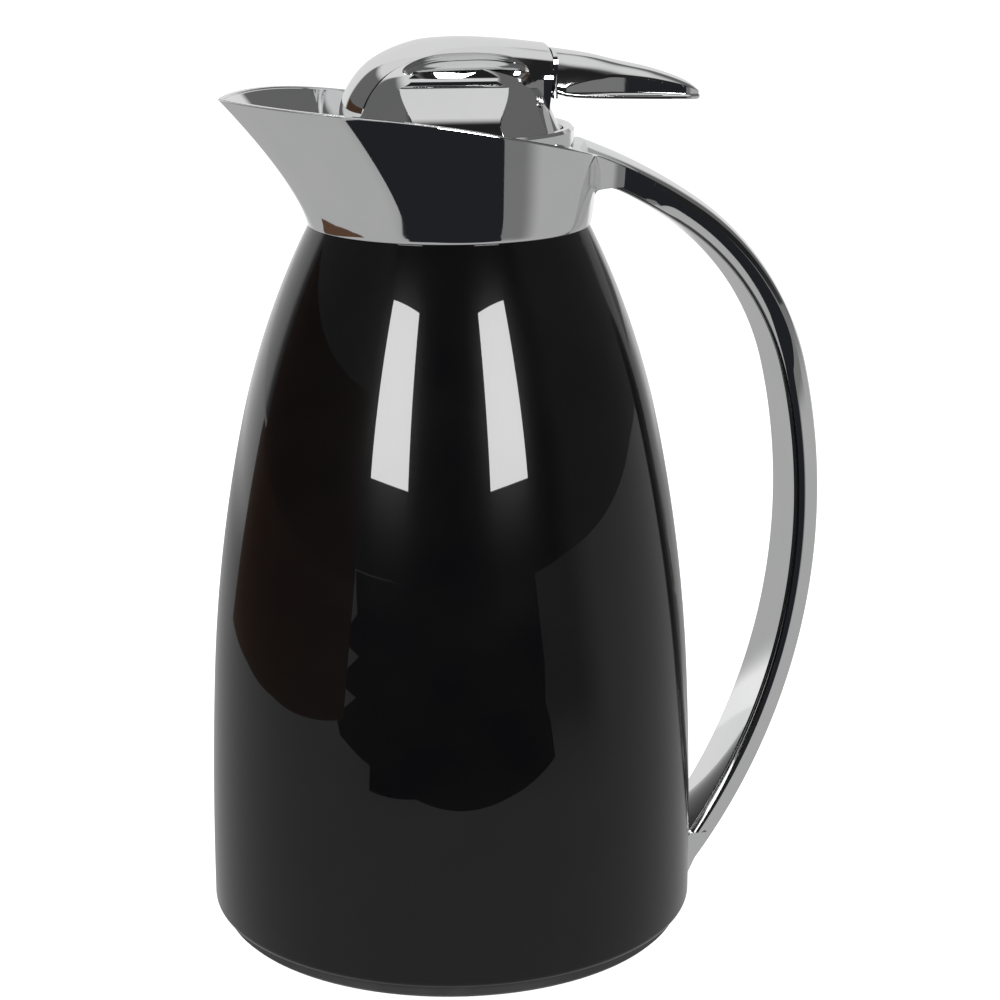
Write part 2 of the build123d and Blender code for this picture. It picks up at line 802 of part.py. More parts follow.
# Stopper insulation: the foam ring between the plug's wall and the pouring tube
with BuildPart() as stopper_insulation:
    with BuildSketch(Plane.XZ):
        with BuildLine():
            Polyline(
                (core_radius + running_gap, plug_bottom + running_gap),
                (plug_radius - plug_taper - plug_wall - running_gap, plug_bottom + running_gap),
                (plug_radius - plug_wall - running_gap, head_bottom - running_gap),
                (core_radius + running_gap, head_bottom - running_gap),
                close=True,
            )
        make_face()
    revolve(axis=Axis.Z)
stopper_insulation.part.label = "stopper_insulation"
export_step(stopper_insulation.part, "parts/stopper_insulation.step")

# Stopper seal: the silicone ring under the head that closes the flask's mouth
with BuildPart() as stopper_seal:
    with BuildSketch(Plane.XY.offset(flange_bottom + fit_gap)):
        Circle(plug_radius + fit_gap + seal_width)
        Circle(plug_radius + fit_gap, mode=Mode.SUBTRACT)
    extrude(amount=head_bottom - flange_bottom - 2 * fit_gap)
    chamfer(stopper_seal.edges().group_by(Axis.Z)[0].sort_by(SortBy.RADIUS)[-1], seal_chamfer)
stopper_seal.part.label = "stopper_seal"
export_step(stopper_seal.part, "parts/stopper_seal.step")

# Lid plate: closes the pouring chamber and guides the valve's stem
lid_base = shoulder_height + lid_base_rise
screw_places = [(screw_front_x, 0), (screw_rear_x, screw_rear_y), (screw_rear_x, -screw_rear_y)]
with BuildPart() as lid_plate:
    with BuildSketch(Plane.XY.offset(chamber_top)):
        Circle(lid_radius)
    extrude(amount=lid_base - chamber_top)
    with BuildSketch(Plane.XY.offset(lid_base)):
        Circle(guide_boss_radius)
    extrude(amount=guide_boss_height)
    with BuildSketch(Plane.XY.offset(lid_base + guide_boss_height - stem_seal_thickness)):
        Circle(stem_seal_radius + running_gap)
    extrude(amount=stem_seal_thickness, mode=Mode.SUBTRACT)
    with BuildSketch(Plane.XY.offset(chamber_top)):
        Circle(stem_bore)
        with Locations(screw_places):
            Circle(screw_radius + pin_gap)
    extrude(amount=lid_base - chamber_top + guide_boss_height, mode=Mode.SUBTRACT)
lid_plate.part.label = "lid_plate"
export_step(lid_plate.part, "parts/lid_plate.step")

# Stem seal: the silicone ring round the stem, on top of its guide
with BuildPart() as stem_seal:
    with BuildSketch(Plane.XY.offset(lid_base + guide_boss_height - stem_seal_thickness)):
        Circle(stem_seal_radius)
        Circle(stem_bore, mode=Mode.SUBTRACT)
    extrude(amount=stem_seal_thickness - running_gap)
stem_seal.part.label = "stem_seal"
export_step(stem_seal.part, "parts/stem_seal.step")

# Lid screws: three, up through the plate into the cap
with BuildPart() as lid_screws:
    with BuildSketch(Plane.XY.offset(chamber_top - screw_head_thickness)):
        with Locations(screw_places):
            Circle(screw_head_radius)
    extrude(amount=screw_head_thickness)
    with BuildSketch(Plane.XY.offset(chamber_top)):
        with Locations(screw_places):
            Circle(screw_radius)
    extrude(amount=screw_length)
lid_screws.part.label = "lid_screws"
export_step(lid_screws.part, "parts/lid_screws.step")

# Lid cap: a concave skirt and the arched grip with a finger scoop on each side
grip_top = shoulder_height + grip_top_rise
pivot = (pivot_reach, shoulder_height + pivot_rise)
lid_rim = (lid_radius, lid_base + lid_edge)
cavity_floor = shoulder_height + cavity_floor_rise
cavity_roof = shoulder_height + cavity_roof_rise
cavity_sill = shoulder_height + cavity_sill_rise
cavity_end = pivot_reach + arm_boss_radius + fit_gap


def scoop(side):
    """The spindle-shaped space that a finger scoop takes out of one side of the grip."""
    end_radius = scoop_radius - scoop_depth
    centre = (scoop_centre_x, side * (grip_half_width + end_radius), shoulder_height + scoop_rise)
    front, rear = (-scoop_half_length, end_radius), (scoop_half_length, end_radius)
    with BuildPart(mode=Mode.PRIVATE) as tool:
        with BuildSketch(Plane(origin=centre)):
            with BuildLine():
                ThreePointArc(front, (0, scoop_radius), rear)
                Polyline(rear, (scoop_half_length, 0), (-scoop_half_length, 0), front)
            make_face()
        revolve(axis=Axis(centre, (1, 0, 0)))
    return tool.part


with BuildPart() as lid_cap:
    with BuildSketch(Plane.XZ):
        with BuildLine():
            arch_points = [(x, shoulder_height + rise) for x, rise in arch_stations]
            arch_front = (-grip_front, shoulder_height + grip_front_rise)
            arch = Spline(arch_front, *arch_points, tangents=((0, 1), (1, grip_rear_slope)))
            Polyline(
                arch @ 1,
                (grip_rear, shoulder_height + rear_shoulder_rise),
                lid_rim,
                (lid_radius, lid_base),
                (-grip_front, lid_base),
                arch @ 0,
            )
        make_face()
    extrude(amount=grip_half_width, both=True)
    fillet(lid_cap.faces().sort_by(Axis.Z)[-1].edges().filter_by(GeomType.LINE, reverse=True), grip_round)
    with BuildSketch(Plane.XZ):
        with BuildLine():
            waist = (grip_waist_radius, shoulder_height + grip_waist_rise)
            ThreePointArc(lid_rim, (skirt_mid_radius, shoulder_height + skirt_mid_rise), waist)
            Polyline(waist, (0, waist[1]), (0, lid_base), (lid_radius, lid_base), lid_rim)
        make_face()
    revolve(axis=Axis.Z)
    with BuildSketch(Plane.XY.offset(lid_base)):
        Circle(2 * lid_radius)
        Circle(lid_radius, mode=Mode.SUBTRACT)
    extrude(amount=grip_top - lid_base, mode=Mode.SUBTRACT)
    add(scoop(1), mode=Mode.SUBTRACT)
    add(scoop(-1), mode=Mode.SUBTRACT)
    with BuildSketch(Plane.XZ):
        with BuildLine():
            Polyline(
                (-cavity_front, cavity_floor),
                (cavity_end, cavity_floor),
                (cavity_end, cavity_sill),
                (lid_radius, cavity_sill),
                (lid_radius, cavity_roof),
                (-cavity_front, cavity_roof),
                close=True,
            )
        make_face()
    extrude(amount=cavity_half_width, both=True, mode=Mode.SUBTRACT)
    with BuildSketch(Plane.XY.offset(lid_base)):
        Circle(guide_boss_radius + fit_gap)
    extrude(amount=cavity_floor - lid_base, mode=Mode.SUBTRACT)
    with BuildSketch(Plane.XY.offset(lid_base)):
        with Locations(screw_places):
            Circle(screw_radius + pin_gap)
    extrude(amount=screw_length + chamber_top - lid_base + fit_gap, mode=Mode.SUBTRACT)
    with BuildSketch(Plane.XZ):
        with Locations(pivot):
            Circle(pin_radius + pin_gap)
    extrude(amount=2 * grip_half_width, both=True, mode=Mode.SUBTRACT)
lid_cap.part.label = "lid_cap"
export_step(lid_cap.part, "parts/lid_cap.step")

# Lever pin: across the grip, through the lever's arm
with BuildPart() as lever_pin:
    with BuildSketch(Plane.XZ):
        with Locations(pivot):
            Circle(pin_radius)
    extrude(amount=grip_half_width - pin_recess, both=True)
lever_pin.part.label = "lever_pin"
export_step(lever_pin.part, "parts/lever_pin.step")

# Lever: the thumb beak behind the grip, and the rocking arm that reaches under the stem's head
lever_front = grip_rear + lever_gap
lever_under = shoulder_height + lever_under_rise
lever_tip_under = shoulder_height + lever_tip_under_rise
arm_nose = (0, shoulder_height + arm_nose_rise)
neck_low = shoulder_height + arm_neck_rise
neck_high = shoulder_height + arm_neck_top_rise


def along_lever(share, front, tip):
    """A size that changes evenly from the lever's front to its tip."""
    return front + (tip - front) * share


def lever_plan(side_inset, tip_inset):
    """An upright block of the lever's plan outline, set in from its sides and its tip."""
    front_half = lever_half_width - side_inset
    tip_half = lever_tip_half_width - side_inset
    reach = lever_reach - tip_inset
    with BuildPart(mode=Mode.PRIVATE) as block:
        with BuildSketch(Plane.XY.offset(lid_base)) as plan:
            with BuildLine():
                Polyline(
                    (lever_front, front_half),
                    (reach, tip_half),
                    (reach, -tip_half),
                    (lever_front, -front_half),
                    close=True,
                )
            make_face()
            fillet(plan.vertices().group_by(Axis.X)[-1], lever_tip_round)
        extrude(amount=grip_top - lid_base)
    return block.part


facet_low = [(facet_start, lever_under + facet_lip), (facet_end[0], lever_tip_under + facet_lip)]
with BuildPart() as facet_space:
    with BuildSketch(Plane.XZ):
        with BuildLine():
            crest = (facet_middle[0], shoulder_height + facet_middle[1])
            brow = ThreePointArc(facet_low[0], crest, (facet_end[0], shoulder_height + facet_end[1]))
            Polyline(brow @ 1, facet_low[1], facet_low[0])
        make_face()
    extrude(amount=2 * lever_half_width, both=True)
    add(lever_plan(facet_depth, facet_depth), mode=Mode.SUBTRACT)

with BuildPart() as lever:
    for share, top_rise in lever_top_rises:
        half = along_lever(share, lever_half_width, lever_tip_half_width)
        edge = along_lever(share, lever_round, lever_tip_edge)
        low = along_lever(share, lever_under, lever_tip_under)
        top = shoulder_height + top_rise
        with BuildSketch(Plane.YZ.offset(along_lever(share, lever_front, lever_reach))):
            with BuildLine():
                Polyline((-half, top - edge), (-half, low), (half, low), (half, top - edge))
                TangentArc((half, top - edge), (half - edge, top), tangent=(0, 1))
                Line((half - edge, top), (edge - half, top))
                TangentArc((edge - half, top), (-half, top - edge), tangent=(-1, 0))
            make_face()
    loft()
    add(lever_plan(-fit_gap, 0.0), mode=Mode.INTERSECT)
    add(facet_space.part, mode=Mode.SUBTRACT)
    with BuildSketch(Plane.XZ):
        with Locations(pivot):
            Circle(arm_boss_radius)
        with Locations(arm_nose):
            Circle(arm_nose_radius)
        with BuildLine():
            Polyline(
                (pivot[0], pivot[1] - arm_boss_radius),
                (arm_nose[0], arm_nose[1] - arm_nose_radius),
                (arm_nose[0], arm_nose[1] + arm_nose_radius),
                (stem_head_radius + arm_side_gap, arm_nose[1] + arm_nose_radius),
                (pivot[0], pivot[1] + arm_boss_radius),
                (lever_front + facet_lip, neck_high),
                (lever_front + facet_lip, neck_low),
                (pivot[0] + arm_boss_radius / 2, neck_low),
                close=True,
            )
        make_face()
    extrude(amount=arm_half_width, both=True)
    slot_size = (arm_boss_radius + arm_slot_rear, 2 * (stem_radius + fit_gap), cavity_roof - cavity_floor)
    add(block_from((-arm_boss_radius, cavity_floor), *slot_size), mode=Mode.SUBTRACT)
    with BuildSketch(Plane.XZ):
        with Locations(pivot):
            Circle(pin_radius + running_gap)
    extrude(amount=grip_half_width, both=True, mode=Mode.SUBTRACT)
lever.part.label = "lever"
export_step(lever.part, "parts/lever.step")

# Valve stem: from the valve's seat up to a head that the lever's fork lifts
seat_height = plug_bottom + fit_gap
stem_head_height = arm_nose[1] + arm_nose_radius + fit_gap
with BuildPart() as valve_stem:
    with BuildSketch(Plane.XY.offset(seat_height)):
        Circle(stem_radius)
    extrude(amount=stem_head_height - seat_height)
    with BuildSketch(Plane.XY.offset(stem_head_height)):
        Circle(stem_head_radius)
    extrude(amount=stem_head_thickness)
    chamfer(valve_stem.edges().group_by(Axis.Z)[-1], stem_head_chamfer)
valve_stem.part.label = "valve_stem"
export_step(valve_stem.part, "parts/valve_stem.step")

# Valve seal: the silicone disc that closes the seat's port
with BuildPart() as valve_seal:
    with BuildSketch(Plane.XY.offset(seat_height)):
        Circle(valve_seal_radius)
        Circle(stem_radius + pin_gap, mode=Mode.SUBTRACT)
    extrude(amount=valve_seal_thickness)
valve_seal.part.label = "valve_seal"
export_step(valve_seal.part, "parts/valve_seal.step")

# Valve disc: backs the seal
with BuildPart() as valve_disc:
    with BuildSketch(Plane.XY.offset(seat_height + valve_seal_thickness)):
        Circle(valve_disc_radius)
        Circle(stem_radius + pin_gap, mode=Mode.SUBTRACT)
    extrude(amount=valve_disc_thickness)
    chamfer(valve_disc.edges().group_by(Axis.Z)[-1].sort_by(SortBy.RADIUS)[-1], valve_disc_chamfer)
valve_disc.part.label = "valve_disc"
export_step(valve_disc.part, "parts/valve_disc.step")

# Spring washer: clipped on the stem, where the spring pushes it down
with BuildPart() as spring_washer:
    with BuildSketch(Plane.XY.offset(shoulder_height + washer_rise)):
        Circle(washer_radius)
        Circle(stem_radius + pin_gap, mode=Mode.SUBTRACT)
    extrude(amount=washer_thickness)
spring_washer.part.label = "spring_washer"
export_step(spring_washer.part, "parts/spring_washer.step")

# Valve spring: a wire helix round the stem, between the washer and the lid plate
spring_low = shoulder_height + washer_rise + washer_thickness + fit_gap + spring_wire_radius
spring_high = chamber_top - fit_gap - spring_wire_radius
with BuildPart() as valve_spring:
    with BuildLine(mode=Mode.PRIVATE) as coil:
        Helix(
            pitch=(spring_high - spring_low) / spring_turns,
            height=spring_high - spring_low,
            radius=spring_radius,
            center=(0, 0, spring_low),
        )
    with BuildSketch(Plane(origin=coil.line @ 0, z_dir=coil.line % 0)):
        RegularPolygon(spring_wire_radius, spring_wire_sides)
    sweep(path=coil.line, is_frenet=True)
valve_spring.part.label = "valve_spring"
export_step(valve_spring.part, "parts/valve_spring.step")
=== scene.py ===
"""The look of an insulated serving jug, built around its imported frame.

Sizes inside the classes are in millimetres and the meshes are in metres. +Z is up, the
spout points along -X, the handle along +X, and the origin is under the jug's axis.
"""

import logging
from dataclasses import dataclass, field
from enum import Enum

import bmesh
import bpy
import numpy as np
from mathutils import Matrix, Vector


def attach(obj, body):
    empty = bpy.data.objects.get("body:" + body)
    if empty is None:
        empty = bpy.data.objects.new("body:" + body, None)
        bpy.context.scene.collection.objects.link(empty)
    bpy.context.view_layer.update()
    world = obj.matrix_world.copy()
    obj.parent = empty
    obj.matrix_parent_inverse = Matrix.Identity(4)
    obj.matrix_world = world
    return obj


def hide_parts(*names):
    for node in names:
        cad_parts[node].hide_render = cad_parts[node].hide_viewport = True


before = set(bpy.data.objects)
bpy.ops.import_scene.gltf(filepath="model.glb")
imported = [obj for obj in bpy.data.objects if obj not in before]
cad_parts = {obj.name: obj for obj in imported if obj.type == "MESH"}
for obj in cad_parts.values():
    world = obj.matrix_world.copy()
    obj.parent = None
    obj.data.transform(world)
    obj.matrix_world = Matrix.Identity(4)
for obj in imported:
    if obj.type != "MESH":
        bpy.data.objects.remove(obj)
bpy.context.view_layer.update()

log = logging.getLogger("jug")
Array = np.ndarray
MM = 0.001
GAP = 0.05
SHARP_ANGLE = np.radians(28.0)
WELD = 2e-7
COPY_WELD = 1e-6
FLAT_WEIGHT = 100
TINY = 1e-3


class Finishes(Enum):
    """The finishes that the jug's pieces wear, by the name of the record's material slot."""

    LACQUER = "black_lacquer"
    CHROME = "bright_chrome"
    BASE = "base_plastic"
    FOOT_RUBBER = "foot_rubber"
    GLASS = "silvered_glass"
    CUSHION = "cushion_rubber"
    FELT = "pad_felt"
    SILICONE = "white_silicone"
    STOPPER = "stopper_plastic"
    FOAM = "insulation_foam"
    STEEL = "steel"
    # Painted shade: a near-black finish for the gap walls between the handle's channel and its
    # lining, standing in for the shadow that falls there.
    PAINTED_SHADOW_GAP = "shadow_gap"


# ---------------------------------------------------------------- shapes


def arcs_through(nodes: Array, heading: float, steps: int) -> tuple[Array, Array]:
    """Follows tangent arcs through points, each arc leaving as the last one arrived.

    An arc from a point with a heading h to the next point turns by twice the angle between
    h and the chord, on a circle of radius chord / (2 sin of that angle).

    Args:
        nodes: the points, as rows of two coordinates.
        heading: the first heading, in radians from the first coordinate's axis.
        steps: points per arc.

    Returns:
        The points of the whole line, and the unit heading at each.
    """
    points, headings = [], []
    share = np.linspace(0.0, 1.0, steps)
    for start, end in zip(nodes, nodes[1:]):
        chord = end - start
        turn = (np.arctan2(chord[1], chord[0]) - heading + np.pi) % (2 * np.pi) - np.pi
        radius = np.hypot(*chord) / (2 * np.sin(turn))
        centre = start + radius * np.array([-np.sin(heading), np.cos(heading)])
        angle = heading + 2 * turn * share
        arc = centre + radius * np.stack([np.sin(angle), -np.cos(angle)], axis=-1)
        keep = slice(0 if len(points) == 0 else 1, None)
        points.append(arc[keep])
        headings.append(np.stack([np.cos(angle), np.sin(angle)], axis=-1)[keep])
        heading += 2 * turn
    return np.concatenate(points), np.concatenate(headings)


def flowing(nodes: Array, steps: int, slopes: Array | None = None) -> Array:
    """Draws a smooth curve through points.

    Each span is a cubic that starts and ends along the slopes at its two points, and a
    slope is the chord between a point's neighbours unless it is given.

    Args:
        nodes: the points, as rows of two coordinates.
        steps: points per span.
        slopes: the direction at each point, of any length.

    Returns:
        The points of the whole curve.
    """
    slopes = np.gradient(nodes, axis=0) if slopes is None else slopes
    unit = slopes / np.linalg.norm(slopes, axis=1, keepdims=True)
    length = np.linalg.norm(np.diff(nodes, axis=0), axis=1)[:, None]
    share = np.linspace(0.0, 1.0, steps)[None, :, None]
    low, high = nodes[:-1, None], nodes[1:, None]
    lean_in, lean_out = (unit[:-1] * length)[:, None], (unit[1:] * length)[:, None]
    spans = ((2 * share**3 - 3 * share**2 + 1) * low + (share**3 - 2 * share**2 + share) * lean_in
             + (3 * share**2 - 2 * share**3) * high + (share**3 - share**2) * lean_out)
    return np.concatenate([spans[:, :-1].reshape(-1, 2), nodes[-1:]])


def rounded_loop(corners: list[tuple[float, float, float]], steps: int = 6) -> Array:
    """Rounds the corners of a closed outline.

    Each corner becomes a curve between the two points that lie its radius along the
    edges, pulled towards the corner as a quadratic curve is.

    Args:
        corners: first coordinate, second coordinate and rounding of each corner.
        steps: points per rounded corner.

    Returns:
        The outline's points, as rows of two coordinates.
    """
    table = np.array(corners, float)
    here, round_by = table[:, :2], table[:, 2:]
    before = np.roll(here, 1, axis=0) - here
    after = np.roll(here, -1, axis=0) - here
    before = before / np.linalg.norm(before, axis=1, keepdims=True)
    after = after / np.linalg.norm(after, axis=1, keepdims=True)
    share = np.linspace(0.0, 1.0, steps)[None, :, None]
    first, last = here + before * round_by, here + after * round_by
    curve = ((1 - share) ** 2 * first[:, None] + 2 * share * (1 - share) * here[:, None]
             + share**2 * last[:, None])
    is_round = np.repeat(round_by > 0, steps, axis=1)
    is_round[:, 0] = True
    return curve[is_round]


def eased(value: Array, low: float, high: float) -> Array:
    """A smooth step from 0 at low to 1 at high."""
    share = np.clip((value - low) / (high - low), 0.0, 1.0)
    return share**2 * (3 - 2 * share)


def revolved(outline: Array, steps: int) -> Array:
    """Turns an outline round the Z axis: each point is (radius cos turn, radius sin turn, height).

    Args:
        outline: the outline, as rows of radius and height.
        steps: how many turns there are.

    Returns:
        The grid of points, with shape (steps, outline points, 3).
    """
    turn = np.linspace(0.0, 2 * np.pi, steps, endpoint=False)[:, None]
    radius, height = outline[None, :, 0], outline[None, :, 1]
    return np.stack([radius * np.cos(turn), radius * np.sin(turn), height + 0 * turn], axis=-1)


class Shell:
    """Grids of points gathered into one closed mesh."""

    def __init__(self) -> None:
        """Starts with no points and no faces."""
        self.points: list[Array] = []
        self.faces: list[list[int]] = []
        self.slots: list[int] = []
        self.count = 0

    def grid(self, points: Array, wrap_u: bool = False, wrap_v: bool = False, caps: bool = False,
             slots: Array | None = None) -> "Shell":
        """Adds a grid of quads.

        Args:
            points: the grid's points in millimetres, with shape (u, v, 3).
            wrap_u: joins the last row to the first.
            wrap_v: joins the last column to the first.
            caps: closes the first and last rows with a face each.
            slots: a material index for each column of faces.

        Returns:
            This shell, so that grids can be added in a chain.
        """
        rows, columns = points.shape[:2]
        index = self.count + np.arange(rows * columns).reshape(rows, columns)
        ends = [index[0][::-1].tolist(), index[-1].tolist()] if caps else []
        index = np.vstack([index, index[:1]]) if wrap_u else index
        index = np.hstack([index, index[:, :1]]) if wrap_v else index
        quads = np.stack([index[:-1, :-1], index[1:, :-1], index[1:, 1:], index[:-1, 1:]], axis=-1)
        marks = np.zeros(quads.shape[1], int) if slots is None else slots
        self.slots += np.broadcast_to(marks, quads.shape[:2]).ravel().tolist() + [0] * len(ends)
        self.faces += quads.reshape(-1, 4).tolist() + ends
        self.points.append(points.reshape(-1, 3))
        self.count += rows * columns
        return self

    def build(self, name: str) -> bpy.types.Object:
        """Makes the object: welded, with its faces outwards and its soft edges smooth.

        Args:
            name: the piece's name.

        Returns:
            The new object, at the origin.
        """
        mesh = bpy.data.meshes.new(name)
        mesh.from_pydata((np.concatenate(self.points) * MM).tolist(), [], self.faces)
        mesh.polygons.foreach_set("material_index", self.slots)
        thing = bpy.data.objects.new(name, mesh)
        bpy.context.scene.collection.objects.link(thing)
        tidy_mesh(mesh)
        return thing


def tidy_mesh(mesh: bpy.types.Mesh, weld: float = WELD) -> None:
    """Welds a mesh, turns its faces outwards and keeps only its real edges sharp.

    Args:
        mesh: the mesh, which is changed in place.
        weld: how close two points are that become one, in metres.
    """
    work = bmesh.new()
    work.from_mesh(mesh)
    bmesh.ops.remove_doubles(work, verts=work.verts, dist=weld)
    bmesh.ops.dissolve_degenerate(work, edges=work.edges, dist=weld)
    bmesh.ops.recalc_face_normals(work, faces=work.faces)
    work.to_mesh(mesh)
    work.free()
    mesh.shade_smooth()
    mesh.set_sharp_from_angle(angle=SHARP_ANGLE)


def even_normals(piece: bpy.types.Object) -> None:
    """Lets large flat faces keep their own direction where they meet rounded ones.

    Args:
        piece: the piece that gets the modifier.
    """
    step = piece.modifiers.new("even_normals", "WEIGHTED_NORMAL")
    step.mode = "FACE_AREA"
    step.weight = FLAT_WEIGHT
    step.keep_sharp = True


def combine(piece: bpy.types.Object, other: bpy.types.Object, operation: str) -> bpy.types.Object:
    """Joins, cuts or trims a piece by another one, which is used up.

    Args:
        piece: the piece that is kept.
        other: the piece that it is combined with.
        operation: UNION, DIFFERENCE or INTERSECT.

    Returns:
        The piece, with its new mesh.
    """
    step = piece.modifiers.new("combine", "BOOLEAN")
    step.operation = operation
    step.object = other
    step.solver = "MANIFOLD"
    graph = bpy.context.evaluated_depsgraph_get()
    made = bpy.data.meshes.new_from_object(piece.evaluated_get(graph))
    piece.modifiers.remove(step)
    old = piece.data
    piece.data = made
    bpy.data.meshes.remove(old)
    bpy.data.objects.remove(other)
    made.name = piece.name
    tidy_mesh(made)
    return piece


# ---------------------------------------------------------------- materials


class Nodes:
    """Adds nodes to a tree and links them by name."""

    def __init__(self, tree: bpy.types.NodeTree) -> None:
        """Works on a tree that is already there."""
        self.tree = tree

    def add(self, kind: str, settings: dict | None = None, **sockets: object) -> bpy.types.Node:
        """Adds a node.

        Args:
            kind: the node's type.
            settings: values for the node's own properties.
            **sockets: a value or an output for each input, by its name with _ for a space,
                or by its place as i0, i1 and so on.

        Returns:
            The node.
        """
        node = self.tree.nodes.new(kind)
        for name, value in (settings or {}).items():
            setattr(node, name, value)
        for name, value in sockets.items():
            is_place = name[0] == "i" and name[1:].isdigit()
            socket = node.inputs[int(name[1:])] if is_place else node.inputs[name.replace("_", " ")]
            if isinstance(value, bpy.types.NodeSocket):
                self.tree.links.new(value, socket)
            else:
                socket.default_value = value
        return node

    def maths(self, operation: str, *values: object, clamp: bool = False) -> bpy.types.NodeSocket:
        """Adds a Math node and returns its output."""
        places = {f"i{i}": value for i, value in enumerate(values)}
        settings = {"operation": operation, "use_clamp": clamp}
        return self.add("ShaderNodeMath", settings, **places).outputs[0]

    def span(self, value: object, low: float, high: float) -> bpy.types.NodeSocket:
        """Adds a smooth step from 0 to 1.

        Args:
            value: the number or the output that is stepped.
            low: where the step starts.
            high: where the step ends.

        Returns:
            The step's output.
        """
        node = self.add("ShaderNodeMapRange", {"interpolation_type": "SMOOTHSTEP"}, Value=value)
        node.inputs["From Min"].default_value = low
        node.inputs["From Max"].default_value = high
        return node.outputs[0]


def socket_group(name: str, inputs: dict[str, float], outputs: list[str]) -> tuple:
    """Starts a shader node group with named number sockets.

    Args:
        name: the group's name.
        inputs: each input's name and its first value.
        outputs: each output's name.

    Returns:
        The group, its node adder, and its input and output nodes.
    """
    group = bpy.data.node_groups.new(name, "ShaderNodeTree")
    for label, value in inputs.items():
        socket = group.interface.new_socket(label, in_out="INPUT", socket_type="NodeSocketFloat")
        socket.default_value = value
    for label in outputs:
        group.interface.new_socket(label, in_out="OUTPUT", socket_type="NodeSocketFloat")
    nodes = Nodes(group)
    return group, nodes, nodes.add("NodeGroupInput"), nodes.add("NodeGroupOutput")


CLOUD_SCALE, CLOUD_SPAN = 38.0, (0.45, 0.75)
HAIR_SCALE, HAIR_SPAN = 45.0, (0.66, 0.74)
HAIR_TURN, HAIR_DRAWN = (0.5, 0.3, 0.8), (60.0, 1.0, 9.0)
PATCH_SPAN = (0.3, 0.7)


def handled_skin() -> bpy.types.NodeTree:
    """The skin of a handled, polished surface, as a roughness and a height.

    Roughness rises in soft cloudy smudges and along hair scratches, which are noise drawn
    out sixtyfold. Height is the slow waviness of a formed wall plus a fine grain.

    Returns:
        The group, which puts out Roughness and Height.
    """
    start = {"Roughness": 0.05, "Smudge": 0.02, "Scratch": 0.02, "Wave Scale": 60.0,
             "Grain Scale": 1500.0, "Grain Share": 0.1}
    group, nodes, source, sink = socket_group("handled_skin", start, ["Roughness", "Height"])
    place = nodes.add("ShaderNodeTexCoord").outputs["Object"]
    cloud = nodes.add("ShaderNodeTexNoise", Vector=place, Scale=CLOUD_SCALE, Detail=4.0,
                      Roughness=0.6)
    drawn = nodes.add("ShaderNodeMapping", Vector=place, Rotation=HAIR_TURN, Scale=HAIR_DRAWN)
    hair = nodes.add("ShaderNodeTexNoise", Vector=drawn.outputs[0], Scale=HAIR_SCALE, Detail=2.0)
    clouds = nodes.span(cloud.outputs["Fac"], *CLOUD_SPAN)
    hairs = nodes.span(hair.outputs["Fac"], *HAIR_SPAN)
    smudge = nodes.maths("MULTIPLY", clouds, source.outputs["Smudge"])
    scratch = nodes.maths("MULTIPLY", hairs, source.outputs["Scratch"])
    worn = nodes.maths("ADD", nodes.maths("ADD", smudge, scratch), source.outputs["Roughness"])
    wave = nodes.add("ShaderNodeTexNoise", Vector=place, Scale=source.outputs["Wave Scale"],
                     Detail=1.0)
    grain = nodes.add("ShaderNodeTexNoise", Vector=place, Scale=source.outputs["Grain Scale"],
                      Detail=3.0)
    fine = nodes.maths("MULTIPLY", grain.outputs["Fac"], source.outputs["Grain Share"])
    nodes.tree.links.new(worn, sink.inputs["Roughness"])
    nodes.tree.links.new(nodes.maths("ADD", wave.outputs["Fac"], fine), sink.inputs["Height"])
    return group


@dataclass(frozen=True)
class Finish:
    """One finish: its colour, its polish, and the skin of waves, grain and wear over it."""

    slot: Finishes
    color: tuple[float, float, float]
    second: tuple[float, float, float]
    metallic: float = 0.0
    roughness: float = 0.4
    smudge: float = 0.04
    scratch: float = 0.0
    coat: float = 0.0
    coat_roughness: float = 0.02
    specular: float = 0.5
    sheen: float = 0.0
    patch_scale: float = 60.0
    wave_scale: float = 60.0
    grain_scale: float = 1500.0
    grain_share: float = 0.1
    relief: float = 0.0

    def material(self, skin: bpy.types.NodeTree) -> bpy.types.Material:
        """Makes the material.

        Args:
            skin: the group that gives the wear and the relief.

        Returns:
            The material, under the finish's own name.
        """
        made = bpy.data.materials.new(self.slot.value)
        made.use_nodes = True
        made.node_tree.nodes.clear()
        nodes = Nodes(made.node_tree)
        place = nodes.add("ShaderNodeTexCoord").outputs["Object"]
        patch = nodes.add("ShaderNodeTexNoise", Vector=place, Scale=self.patch_scale, Detail=3.0)
        share = nodes.span(patch.outputs["Fac"], *PATCH_SPAN)
        tone = nodes.add("ShaderNodeMix", {"data_type": "RGBA"}, Factor=share)
        tone.inputs["A"].default_value = (*self.color, 1.0)
        tone.inputs["B"].default_value = (*self.second, 1.0)
        worn = nodes.add(
            "ShaderNodeGroup", {"node_tree": skin}, Roughness=self.roughness, Smudge=self.smudge,
            Scratch=self.scratch, Wave_Scale=self.wave_scale, Grain_Scale=self.grain_scale,
            Grain_Share=self.grain_share)
        body = nodes.add(
            "ShaderNodeBsdfPrincipled", Metallic=self.metallic, Roughness=worn.outputs["Roughness"],
            Coat_Weight=self.coat, Coat_Roughness=self.coat_roughness,
            Specular_IOR_Level=self.specular, Sheen_Weight=self.sheen)
        nodes.tree.links.new(tone.outputs["Result"], body.inputs["Base Color"])
        if self.relief > 0:
            bump = nodes.add("ShaderNodeBump", Height=worn.outputs["Height"], Distance=self.relief)
            nodes.tree.links.new(bump.outputs[0], body.inputs["Normal"])
        sink = nodes.add("ShaderNodeOutputMaterial")
        nodes.tree.links.new(body.outputs[0], sink.inputs["Surface"])
        return made


